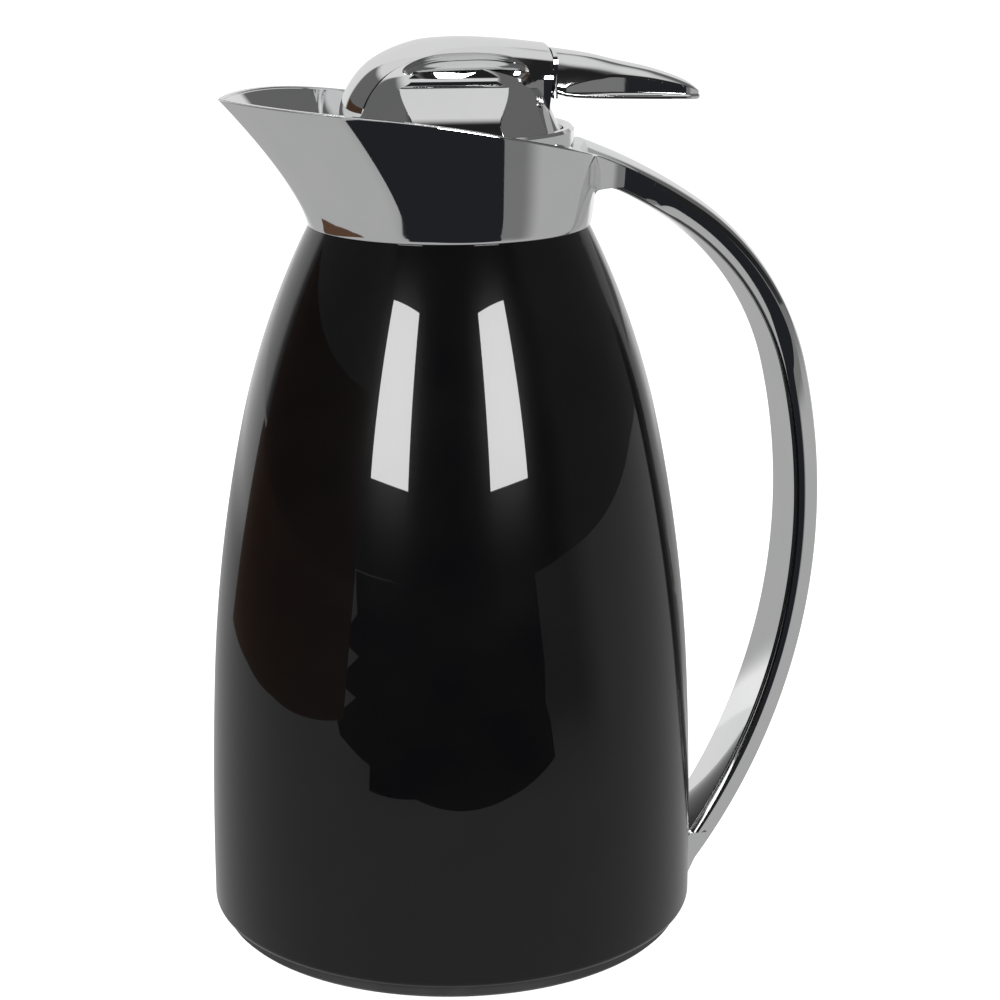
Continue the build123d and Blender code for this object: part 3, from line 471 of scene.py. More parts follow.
FINISHES = (
    Finish(Finishes.LACQUER, (0.0012, 0.0012, 0.0015), (0.0018, 0.0017, 0.0017), roughness=0.22,
           smudge=0.05, coat=0.82, coat_roughness=0.012, specular=0.04, wave_scale=170.0,
           grain_scale=900.0, grain_share=0.25, relief=4e-6),
    Finish(Finishes.CHROME, (0.83, 0.835, 0.84), (0.86, 0.86, 0.86), metallic=1.0, roughness=0.035,
           smudge=0.03, scratch=0.03, wave_scale=55.0, grain_scale=900.0, grain_share=0.03,
           relief=2.2e-5),
    Finish(Finishes.BASE, (0.014, 0.014, 0.015), (0.020, 0.020, 0.021), roughness=0.38, smudge=0.1,
           grain_scale=4000.0, grain_share=1.0, relief=2e-5),
    Finish(Finishes.FOOT_RUBBER, (0.022, 0.022, 0.022), (0.035, 0.034, 0.033), roughness=0.75,
           smudge=0.1, specular=0.3, grain_share=1.0, relief=4e-5),
    Finish(Finishes.GLASS, (0.78, 0.79, 0.81), (0.84, 0.84, 0.83), metallic=1.0, roughness=0.03,
           coat=1.0, wave_scale=35.0, relief=8e-5),
    Finish(Finishes.CUSHION, (0.030, 0.030, 0.030), (0.055, 0.053, 0.050), roughness=0.7,
           grain_share=1.0, relief=5e-5),
    Finish(Finishes.FELT, (0.46, 0.44, 0.41), (0.60, 0.58, 0.55), roughness=0.95, sheen=0.4,
           patch_scale=900.0, grain_scale=2500.0, grain_share=2.0, relief=2e-4),
    Finish(Finishes.SILICONE, (0.76, 0.76, 0.74), (0.83, 0.83, 0.81), roughness=0.42, smudge=0.08,
           relief=2e-5),
    Finish(Finishes.STOPPER, (0.020, 0.020, 0.022), (0.028, 0.028, 0.030), roughness=0.34,
           smudge=0.08, grain_scale=3500.0, grain_share=1.0, relief=1.5e-5),
    Finish(Finishes.FOAM, (0.78, 0.77, 0.73), (0.86, 0.85, 0.80), roughness=0.9,
           patch_scale=1200.0, grain_scale=2000.0, grain_share=3.0, relief=2e-4),
    Finish(Finishes.STEEL, (0.52, 0.52, 0.53), (0.62, 0.62, 0.62), metallic=1.0, roughness=0.24,
           scratch=0.12, grain_scale=2500.0, grain_share=0.6, relief=1e-5),
    # Painted shade: this near-black colour stands in for the shadow deep in the gap between the
    # handle's channel and its lining.
    Finish(Finishes.PAINTED_SHADOW_GAP, (0.004, 0.004, 0.004), (0.007, 0.007, 0.007), roughness=0.6,
           specular=0.1, relief=1e-5),
)

WORN_BY = {
    "base_plate": Finishes.BASE,
    "foot_ring": Finishes.FOOT_RUBBER,
    "flask_inner": Finishes.GLASS,
    "flask_outer": Finishes.GLASS,
    "flask_cushion": Finishes.CUSHION,
    "shoulder_pad": Finishes.FELT,
    "flask_gasket": Finishes.SILICONE,
    "neck_ring": Finishes.CHROME,
    "neck_nut": Finishes.BASE,
    "foot_screw": Finishes.STEEL,
    "stopper_seal": Finishes.SILICONE,
    "stopper_body": Finishes.STOPPER,
    "stopper_core": Finishes.STOPPER,
    "stopper_insulation": Finishes.FOAM,
    "lid_plate": Finishes.STOPPER,
    "lid_screws": Finishes.STEEL,
    "lever_pin": Finishes.STEEL,
    "stem_seal": Finishes.SILICONE,
    "valve_spring": Finishes.STEEL,
    "valve_stem": Finishes.STOPPER,
    "valve_seal": Finishes.SILICONE,
    "valve_disc": Finishes.STOPPER,
    "spring_washer": Finishes.STEEL,
}


@dataclass
class Wardrobe:
    """The materials of the jug, and the smoothing that its carried-over pieces get."""

    made: dict[Finishes, bpy.types.Material] = field(default_factory=dict)

    def fill(self) -> None:
        """Makes every finish once."""
        skin = handled_skin()
        self.made = {finish.slot: finish.material(skin) for finish in FINISHES}

    def dress(self, piece: bpy.types.Object, *finishes: Finishes) -> None:
        """Puts finishes on a piece.

        Args:
            piece: the piece that wears them.
            *finishes: the finishes, in the order of the piece's material indices.
        """
        piece.data.materials.clear()
        for finish in finishes:
            piece.data.materials.append(self.made[finish])

    def smoothing(self) -> bpy.types.NodeTree:
        """Makes the geometry nodes that weld a carried-over mesh and smooth its soft edges.

        Returns:
            The node tree, ready for a modifier.
        """
        tree = bpy.data.node_groups.new("soft_edges", "GeometryNodeTree")
        tree.interface.new_socket("Geometry", in_out="INPUT", socket_type="NodeSocketGeometry")
        tree.interface.new_socket("Geometry", in_out="OUTPUT", socket_type="NodeSocketGeometry")
        nodes = Nodes(tree)
        source, sink = nodes.add("NodeGroupInput"), nodes.add("NodeGroupOutput")
        weld = nodes.add("GeometryNodeMergeByDistance", Geometry=source.outputs[0], Distance=WELD)
        angle = nodes.add("GeometryNodeInputMeshEdgeAngle").outputs["Unsigned Angle"]
        hard = nodes.add("FunctionNodeCompare", {"data_type": "FLOAT", "operation": "GREATER_THAN"},
                         i0=angle, i1=SHARP_ANGLE)
        welded = weld.outputs[0]
        faces = nodes.add("GeometryNodeSetShadeSmooth", {"domain": "FACE"}, Geometry=welded)
        edges = nodes.add("GeometryNodeSetShadeSmooth", {"domain": "EDGE"},
                          Geometry=faces.outputs[0], Selection=hard.outputs[0])
        edges.inputs["Shade Smooth"].default_value = False
        nodes.tree.links.new(edges.outputs[0], sink.inputs[0])
        return tree

    def dress_frame(self) -> None:
        """Gives each carried-over piece its finish and its smoothing."""
        tree = self.smoothing()
        for name, finish in WORN_BY.items():
            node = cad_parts[name]
            self.dress(node, finish)
            node.modifiers.new("soft_edges", "NODES").node_group = tree
            log.info("%s wears %s", name, finish.value)


# ---------------------------------------------------------------- the jug's pieces


@dataclass
class Casing:
    """The lacquered body shell: an upright belly that rises in arcs to a narrow shoulder."""

    belly_radius: float = 70.0
    belly_height: float = 14.0
    shoulder_radius: float = 38.95
    shoulder_height: float = 204.0
    draw: tuple = ((0.321, 0.052), (0.716, 0.378))
    wall: float = 1.2
    foot_height: float = 4.9
    foot_round: float = 2.1
    foot_lip: float = 3.4
    neck_radius: float = 37.65
    neck_bore: float = 33.3
    neck_top: float = 210.0
    neck_wall: float = 1.0
    below: float = -20.0
    arc_steps: int = 44
    foot_steps: int = 12
    turns: int = 320

    def curve(self, margin: float) -> Array:
        """The profile from the belly to the shoulder, as tangent arcs through drawn-in stations.

        Args:
            margin: how far the profile is moved outwards.

        Returns:
            The profile's points, as rows of radius and height.
        """
        nodes = [(self.belly_radius, self.belly_height)]
        rise = self.shoulder_height - self.belly_height
        for level, drawn in self.draw:
            radius = self.belly_radius - drawn * (self.belly_radius - self.shoulder_radius)
            nodes.append((radius, self.belly_height + level * rise))
        nodes.append((self.shoulder_radius, self.shoulder_height))
        points, headings = arcs_through(np.array(nodes), np.pi / 2, self.arc_steps)
        return points + margin * np.stack([headings[:, 1], -headings[:, 0]], axis=-1)

    def foot(self) -> Array:
        """The quarter round from the belly down to the foot, and the wall turned in under it.

        Returns:
            The outline's points, as rows of radius and height.
        """
        angle = np.linspace(0.0, -np.pi / 2, self.foot_steps)
        centre = (self.belly_radius - self.foot_round, self.foot_height + self.foot_round)
        arc = np.array(centre) + self.foot_round * np.stack([np.cos(angle), np.sin(angle)], axis=-1)
        lip = centre[0] - self.foot_lip
        top = self.foot_height + self.wall
        turned_in = [(lip, self.foot_height), (lip, top), (centre[0], top),
                     (self.belly_radius - self.wall, centre[1])]
        return np.concatenate([arc, np.array(turned_in)])

    def build(self, wardrobe: Wardrobe) -> bpy.types.Object:
        """Makes the shell, a closed outline turned round the axis, and dresses it.

        Args:
            wardrobe: the materials.

        Returns:
            The casing.
        """
        outer, inner = self.curve(0.0), self.curve(-self.wall)
        neck_inner = self.neck_radius - self.neck_wall
        neck = np.array([
            (self.neck_radius, self.shoulder_height),
            (self.neck_radius, self.neck_top),
            (self.neck_bore, self.neck_top),
            (self.neck_bore, self.neck_top - self.neck_wall),
            (neck_inner, self.neck_top - self.neck_wall),
            (neck_inner, self.shoulder_height),
        ])
        outline = np.concatenate([outer, neck, inner[::-1], self.foot()[::-1]])
        shell = Shell().grid(revolved(outline, self.turns), wrap_u=True, wrap_v=True)
        shell = shell.build("casing")
        wardrobe.dress(shell, Finishes.LACQUER)
        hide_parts("body_casing")
        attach(shell, "root")
        return shell

    def cutter(self, margin: float) -> bpy.types.Object:
        """A solid of the casing's outside, closed to the axis, that trims what meets it.

        Args:
            margin: how far the solid stands outside the casing.

        Returns:
            The solid.
        """
        below = [(0.0, self.below), (self.belly_radius + margin, self.below)]
        outline = np.concatenate([below, self.curve(margin), [(0.0, self.shoulder_height)]])
        return Shell().grid(revolved(outline, self.turns), wrap_u=True).build("casing_cutter")


RIM = np.array([(-70.0, 240.0), (-35.0, 238.6), (-9.0, 235.2), (10.0, 231.5), (34.5, 224.8),
                (58.0, 214.6)])


def rim_height(x: Array) -> Array:
    """The height of the rim line over a place along X, on a smooth curve through its stations.

    Each span is a cubic whose slopes at its ends are those of the two chords beside them,
    weighted by the other chord's length.

    Args:
        x: the places along X.

    Returns:
        The rim's height at each.
    """
    stations, heights = RIM[:, 0], RIM[:, 1]
    width = np.diff(stations)
    chord = np.diff(heights) / width
    inner = (chord[:-1] * width[1:] + chord[1:] * width[:-1]) / (width[:-1] + width[1:])
    ends = 1.5 * chord[[0, -1]] - 0.5 * inner[[0, -1]]
    slope = np.concatenate([ends[:1], inner, ends[1:]])
    place = np.clip(np.searchsorted(stations, x) - 1, 0, len(width) - 1)
    share = (x - stations[place]) / width[place]
    low, high = heights[place], heights[place + 1]
    rise = (high - low) * (3 * share**2 - 2 * share**3)
    lean_in = width[place] * slope[place] * (share - 2 * share**2 + share**3)
    lean_out = width[place] * slope[place + 1] * (share**3 - share**2)
    return low + rise + lean_in + lean_out


@dataclass
class Collar:
    """The flared pouring collar and the loop handle, in one bright casting."""

    foot_height: float = 204.0
    full_rise: float = 38.0
    foot_radius: float = 39.2
    flare: float = 2.8
    overhang: float = 26.4
    flare_power: float = 1.34
    nose_power: float = 4.4
    nose_root: float = 0.95
    wall: float = 2.2
    ring_radius: float = 34.75
    rear_land: float = 24.0
    land_limit: float = 0.05
    floor_top: float = 212.8
    floor_bottom: float = 210.3
    floor_bore: float = 33.3
    neck_space: float = 37.9
    web_bottom: float = 213.5
    web_step: float = 1e-4
    web_half: float = 10.97
    web_fillet: float = 14.0
    web_reach: float = 53.0
    lip_round: float = 0.5
    foot_lip: float = 0.5
    handle_half: float = 11.0
    handle_side: float = 6.2
    handle_crown: float = 2.6
    crown_edge: float = 0.7
    side_shapes: tuple = ((0.0, 0.5, 0.0), (0.3, 0.25, 1.35), (1.5, 0.7, 0.75))
    bend_span: tuple = (52.0, 64.0)
    side_span: tuple = (140.0, 176.0)
    channel_top: float = 2.6
    channel_half: float = 9.0
    # channel_play and channel_shade choose which faces of the channel's walls take the painted
    # shade of the gap.
    channel_play: float = 0.01
    channel_shade: float = 0.2
    handle_slope: float = -19.5
    handle_nodes: tuple = ((34.5, 224.8), (69.8, 207.0), (103.3, 159.0), (107.4, 96.0), (66.6, 1.3))
    handle_from: float = 37.0
    base_height: float = 4.9
    ledge_height: float = 18.0
    ledge_reach: tuple = (66.0, 70.0, 76.2, 70.6, 69.9)
    ledge_step: float = 1.6
    ledge_rounds: tuple = (1.2, 0.4)
    ledge_inset: float = 0.04
    top_guess: float = 230.0
    top_rounds: int = 8
    spans_deg: tuple = (0.0, 9.0, 30.0, 180.0)
    span_columns: tuple = (10, 84, 210)
    arc_steps: int = 140
    beyond: tuple = (4.0, 8.0, 12.0)
    foot_rows: int = 5
    low_rows: int = 14
    wall_rows: int = 36
    lip_rows: int = 6
    rim_shares: tuple = (0.1, 0.9, 9)
    inner_rows: int = 28
    handle_steps: int = 300
    crown_steps: int = 25
    flank_steps: int = 26
    flank_gap: float = 0.15
    flank_short: float = 0.5
    lip_width: float = 0.25
    lip_bevel: float = 0.3

    def outline(self, turn: Array, height: Array, inset: float = 0.0,
                webbed: bool = True) -> tuple[Array, Array]:
        """The collar's plan at a height.

        Behind, it is a circle; in front, a curve y = side (1 - reach^power)^root, whose
        power and root grow with the flare, so that the circle becomes a pouring nose. The
        web behind is the nearer side of a circle that touches both the collar and the
        handle's side.

        Args:
            turn: the angle round the axis from +X, in radians.
            height: the height of each point.
            inset: how far inside the outer surface.
            webbed: adds the web that runs into the handle.

        Returns:
            The x and y of each point.
        """
        share = np.clip((height - self.foot_height) / self.full_rise, 0.0, 1.2)
        flare = share**self.flare_power
        front = self.foot_radius + self.overhang * flare - inset
        side = self.foot_radius + self.flare * np.sqrt(share) - inset
        power = 2.0 + (self.nose_power - 2.0) * flare
        root = 0.5 + (self.nose_root - 0.5) * flare
        cos, sin = np.cos(turn), np.sin(turn)
        reach = np.clip(-cos, 0.0, 1.0)
        radius = side + 0.0 * cos
        if webbed:
            web = np.maximum(side, self.web_radius(turn, side))
            radius = np.where(height > self.web_bottom, web, side)
        x = np.where(cos < 0, -front * reach, radius * cos)
        y = np.where(cos < 0, side * (1.0 - reach**power) ** root * np.sign(sin), radius * sin)
        return x, y

    def web_radius(self, turn: Array, side: Array) -> Array:
        """The distance from the axis to the web's outside.

        The web is a circle that touches the collar and the handle's side, then a straight
        run along that side.

        Args:
            turn: the direction round the axis from +X, in radians.
            side: the collar's radius there.

        Returns:
            The distance, or 0 where there is no web.
        """
        centre = side + self.web_fillet
        y = self.web_half + self.web_fillet
        x = np.sqrt(centre**2 - y**2)
        angle = np.abs((turn + np.pi) % (2 * np.pi) - np.pi)
        lean = angle - np.arctan2(y, x)
        inside = np.clip(self.web_fillet**2 - (centre * np.sin(lean)) ** 2, 0.0, None)
        fillet = np.where(inside > 0, centre * np.cos(lean) - np.sqrt(inside), 0.0)
        straight = self.web_half / np.maximum(np.sin(angle), TINY)
        end = self.web_reach / np.maximum(np.cos(angle), TINY)
        merge = np.arctan2(self.web_half, x)
        radius = np.where(angle > merge, fillet, np.minimum(straight, end))
        return np.where(angle < np.arctan2(y, x), radius, 0.0)

    def turns(self) -> Array:
        """The angles of the collar's columns, closest together at the web.

        Returns:
            The angles once round, in radians.
        """
        stops = zip(np.radians(self.spans_deg), np.radians(self.spans_deg[1:]), self.span_columns)
        half = np.concatenate([np.linspace(*stop, endpoint=False) for stop in stops])
        return np.concatenate([half, [np.pi], 2 * np.pi - half[:0:-1]])

    def cup(self) -> Shell:
        """The collar's cup: each column is a closed profile, from the foot up the outside, over
        the rounded rim, down the inside and under the floor.

        Returns:
            The cup's shell.
        """
        turn = self.turns()
        top = np.full_like(turn, self.top_guess)
        for _ in range(self.top_rounds):
            top = rim_height(self.outline(turn, top)[0])
        rows = []

        def row(x: Array, y: Array, z: Array) -> None:
            """Adds one row of points, which may share a height."""
            rows.append(np.stack([x, y, z + 0.0 * x], axis=-1))

        def rim_row(share: Array, drop: float) -> None:
            """Adds a row at a share of the way from the rim's outside to its inside."""
            x = outer_x + (inner_x - outer_x) * share
            row(x, outer_y + (inner_y - outer_y) * share, rim_height(x) - drop)

        for angle in np.linspace(0.0, np.pi / 2, self.foot_rows):
            tuck = self.foot_lip * (1 - np.sin(angle))
            height = np.full_like(turn, self.foot_height + self.foot_lip * (1 - np.cos(angle)))
            row(*self.outline(turn, height, tuck, webbed=False), height)
        low = self.foot_height + self.foot_lip
        for height in np.linspace(low, self.web_bottom, self.low_rows)[1:]:
            level = np.full_like(turn, height)
            row(*self.outline(turn, level, webbed=False), level)
        start = self.web_bottom + self.web_step
        for share in np.linspace(0.0, 1.0, self.wall_rows):
            level = start + (top - self.lip_round - start) * share
            row(*self.outline(turn, level), level)
        outer_x, outer_y = self.outline(turn, top)
        inner_x, inner_y = self.inner(turn, top)
        span = np.hypot(outer_x - inner_x, outer_y - inner_y)
        quarter = np.linspace(0.0, np.pi / 2, self.lip_rows)[1:]
        for angle in quarter:
            share = self.lip_round * (1 - np.cos(angle)) / span
            rim_row(share, self.lip_round * (1 - np.sin(angle)))
        for share in np.linspace(*self.rim_shares):
            rim_row(share, 0.0)
        for angle in quarter[::-1]:
            share = 1.0 - self.lip_round * (1 - np.cos(angle)) / span
            rim_row(share, self.lip_round * (1 - np.sin(angle)))
        inner_top = rim_height(inner_x) - self.lip_round
        for share in np.linspace(0.0, 1.0, self.inner_rows):
            level = inner_top + (self.floor_top - inner_top) * share
            row(*self.inner(turn, level), level)
        for radius, height in (
            (self.floor_bore, self.floor_top),
            (self.floor_bore, self.floor_bottom),
            (self.neck_space, self.floor_bottom),
            (self.neck_space, self.foot_height),
        ):
            row(radius * np.cos(turn), radius * np.sin(turn), np.full_like(turn, height))
        return Shell().grid(np.stack(rows, axis=1), wrap_u=True, wrap_v=True)

    def inner(self, turn: Array, height: Array) -> tuple[Array, Array]:
        """The basin's plan at a height: a wall inside the cup, and behind, the neck ring's land.

        Args:
            turn: the angle round the axis from +X, in radians.
            height: the height of each point.

        Returns:
            The x and y of each point.
        """
        x, y = self.outline(turn, height, self.wall, webbed=False)
        radius = np.hypot(x, y)
        land = self.rear_land / np.maximum(np.cos(turn), TINY)
        wanted = np.where(np.cos(turn) > self.land_limit, np.minimum(radius, land), radius)
        scale = np.maximum(wanted, self.ring_radius) / radius
        return x * scale, y * scale

    def handle_line(self) -> tuple[Array, Array]:
        """The handle's outer side edge in the plane of X and Z.

        The line runs on straight past its last arc, so that its inner side reaches the foot too.

        Returns:
            The line's points and its headings.
        """
        nodes = np.array(self.handle_nodes)
        points, headings = arcs_through(nodes, np.radians(self.handle_slope), self.arc_steps)
        beyond = points[-1] + headings[-1] * np.array(self.beyond)[:, None]
        straight = np.tile(headings[-1], (len(self.beyond), 1))
        return np.concatenate([points, beyond]), np.concatenate([headings, straight])

    def along_handle(self, depth: Array, end_height: float, start_x: float) -> Array:
        """Points along the handle at depths from its edge line, all ending at one height.

        Args:
            depth: how far outwards of the edge line each line runs.
            end_height: the height at which each line is cut.
            start_x: where each line starts along X.

        Returns:
            A grid of x and z with shape (steps, lines, 2).
        """
        points, headings = self.handle_line()
        outwards = np.stack([-headings[:, 1], headings[:, 0]], axis=-1)
        lines = points[:, None] + outwards[:, None] * depth[None, :, None]
        steps = np.arange(len(points), dtype=float)
        below = np.argmax(lines[:, :, 1] < end_height, axis=0)
        column = np.arange(len(depth))
        high, low = lines[below - 1, column, 1], lines[below, column, 1]
        last = below - 1 + (high - end_height) / (high - low)
        first = np.interp(start_x, points[:self.arc_steps, 0], steps[:self.arc_steps])
        share = np.linspace(0.0, 1.0, self.handle_steps)[:, None]
        place = first + (last[None, :] - first) * share
        floor = np.clip(place.astype(int), 0, len(points) - 2)
        part = (place - floor)[..., None]
        return lines[floor, column] * (1 - part) + lines[floor + 1, column] * part

    def section(self, draft: float, peak: float, bulge: float) -> Array:
        """The handle's closed section, as y and the depth outwards of its side edge.

        Args:
            draft: how much each side leans in towards the crown.
            peak: the share of the side's depth where it is widest.
            bulge: how much each side rounds in towards the channel.

        Returns:
            The loop's points: the crown, one side with its lip, and the other side.
        """
        half = self.handle_half - self.crown_edge - draft
        radius = (self.handle_half**2 + self.handle_crown**2) / (2 * self.handle_crown)
        across = np.linspace(-1.0, 1.0, self.crown_steps)
        crown = np.sqrt(radius**2 - (across * half) ** 2) - (radius - self.handle_crown)
        top = np.stack([across * half, crown], axis=-1)
        side, channel, roof = self.handle_side, self.channel_half, self.channel_top
        down = np.linspace(0.0, 1.0, self.flank_steps)
        lean = draft * np.clip(1 - down / peak, 0.0, None)
        round_in = bulge * np.clip((down - peak) / (1 - peak), 0.0, None) ** 2
        depth = -self.flank_gap - (side - self.flank_short) * down
        flank = np.stack([self.handle_half - lean - round_in, depth], axis=-1)
        lip = np.array([
            (self.handle_half - bulge - self.lip_bevel, -side),
            (channel + self.lip_width, -side),
            (channel, -side + self.lip_bevel),
            (channel, -roof),
        ])
        right = np.concatenate([flank, lip])
        return np.concatenate([top, right, right[::-1] * (-1.0, 1.0)])

    def bar(self) -> Shell:
        """The handle: a crowned channel section carried along its line of tangent arcs.

        The section is plain at the web, rounds inwards over the bend and is drafted below it.

        Returns:
            The handle's shell.
        """
        loop, bend, side = (self.section(*shape) for shape in self.side_shapes)
        lines = self.along_handle(loop[:, 1], self.base_height, self.handle_from)
        to_bend = np.maximum.accumulate(eased(lines[..., 0], *self.bend_span), axis=0)
        to_side = 1 - eased(lines[..., 1], *self.side_span)
        across_y = loop[:, 0] + (bend - loop)[:, 0] * to_bend
        across_y = across_y + (side[:, 0] - across_y) * to_side
        # Faces on the channel's inner walls take slot 1, painted shade that makes the gap beside
        # the lining read dark.
        middle = (loop + np.roll(loop, -1, axis=0)) / 2
        in_channel = np.abs(middle[:, 0]) < self.channel_half + self.channel_play
        painted_shade_faces = in_channel & (middle[:, 1] < self.channel_shade - self.channel_top)
        points = np.stack([lines[..., 0], across_y, lines[..., 1]], axis=-1)
        return Shell().grid(points, wrap_v=True, caps=True, slots=painted_shade_faces.astype(int))

    def ledge(self) -> Shell:
        """The foot's solid wedge between the casing and the handle, with a rounded ledge on top.

        Returns:
            The wedge's shell.
        """
        root, below, outer, upper, lower = self.ledge_reach
        step = self.ledge_height - self.ledge_step
        loop = rounded_loop([
            (root, self.base_height, 0.0),
            (below, self.base_height, 0.0),
            (outer, self.ledge_height, 0.0),
            (upper, self.ledge_height, self.ledge_rounds[0]),
            (lower, step, self.ledge_rounds[1]),
            (root, step, 0.0),
        ])
        across = (self.handle_half - self.ledge_inset) * np.array([[-1.0], [1.0]])
        points = np.stack(np.broadcast_arrays(loop[:, 0], across, loop[:, 1]), axis=-1)
        return Shell().grid(points, wrap_v=True, caps=True)

    def build(self, wardrobe: Wardrobe, casing: Casing) -> bpy.types.Object:
        """Joins the cup, the bar and the ledge, trims them by the casing and dresses the casting.

        Args:
            wardrobe: the materials.
            casing: the casing that the handle's foot fits.

        Returns:
            The casting.
        """
        casting = self.cup().build("collar_handle")
        bar, ledge = self.bar().build("handle_bar"), self.ledge().build("handle_ledge")
        handle = combine(bar, ledge, "UNION")
        handle = combine(handle, casing.cutter(GAP), "DIFFERENCE")
        combine(casting, handle, "UNION")
        even_normals(casting)
        # The second slot is painted shade on the channel walls, for the dark gap beside the lining.
        wardrobe.dress(casting, Finishes.CHROME, Finishes.PAINTED_SHADOW_GAP)
        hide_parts("collar_and_handle")
        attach(casting, "root")
        return casting


@dataclass
class Liner:
    """The strip that closes the handle's channel and rounds into the collar."""

    recess: float = -0.6
    thickness: float = 4.1
    half: float = 8.95
    edge: float = 0.5
    gap_depth: float = 0.62
    heel: tuple = (38.6, 204.9)
    joins_at: float = 56.0
    heel_pull: float = 12.0
    join_pull: float = 9.0
    root_steps: int = 90
    edge_steps: int = 7
    gap_rest: float = 0.6
    # gap_edge and gap_play choose the lining's side faces that take the painted shade of the gap.
    gap_edge: float = 0.06
    gap_play: float = 0.01

    def build(self, wardrobe: Wardrobe, collar: Collar) -> bpy.types.Object:
        """Makes the strip, a flat section with rounded edges carried along a line.

        The line leaves the collar's foot upwards on a cubic curve that runs into the
        handle's inner side.

        Args:
            wardrobe: the materials.
            collar: the collar whose handle the strip closes.

        Returns:
            The strip.
        """
        depth = -collar.handle_side + self.recess
        low = collar.ledge_height + GAP
        line = collar.along_handle(np.array([depth]), low, self.joins_at)[:, 0]
        start, end = np.array(self.heel), line[0]
        heading = (line[1] - line[0]) / np.linalg.norm(line[1] - line[0])
        share = np.linspace(0.0, 1.0, self.root_steps, endpoint=False)[:, None]
        first, second = start + np.array([0.0, self.heel_pull]), end - heading * self.join_pull
        root = ((1 - share) ** 3 * start + 3 * (1 - share) ** 2 * share * first
                + 3 * (1 - share) * share**2 * second + share**3 * end)
        path = np.concatenate([root, line])
        heading = np.gradient(path, axis=0)
        heading /= np.linalg.norm(heading, axis=1, keepdims=True)
        outwards = np.stack([-heading[:, 1], heading[:, 0]], axis=-1)
        outwards[-1] = (1.0, 0.0)
        gap_end = self.gap_depth + self.gap_rest
        section = rounded_loop([
            (-self.half, 0.0, self.edge),
            (self.half, 0.0, self.edge),
            (self.half, gap_end, 0.0),
            (self.half, self.thickness, 0.0),
            (-self.half, self.thickness, 0.0),
            (-self.half, gap_end, 0.0),
        ], self.edge_steps)
        # Faces along the strip's sides, beside the gap, take slot 1, painted shade that makes the
        # line between the lining and the channel read black.
        middle = (section + np.roll(section, -1, axis=0)) / 2
        at_edge = np.abs(middle[:, 0]) > self.half - self.gap_edge
        painted_shade_faces = at_edge & (middle[:, 1] < gap_end + self.gap_play)
        place = path[:, None] + outwards[:, None] * section[None, :, 1:]
        across = np.broadcast_to(section[:, 0], place.shape[:2])
        strip = np.stack([place[..., 0], across, place[..., 1]], axis=-1)
        shell = Shell().grid(strip, wrap_v=True, caps=True, slots=painted_shade_faces.astype(int))
        piece = shell.build("handle_lining")
        # The second slot is painted shade on the strip's sides.
        wardrobe.dress(piece, Finishes.CHROME, Finishes.PAINTED_SHADOW_GAP)
        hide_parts("handle_liner")
        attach(piece, "root")
        return piece


ARCH = np.array([(-27.8, 242.0), (-21.2, 249.3), (-10.0, 254.0), (1.0, 255.0), (13.5, 254.4),
                 (27.0, 252.8)])


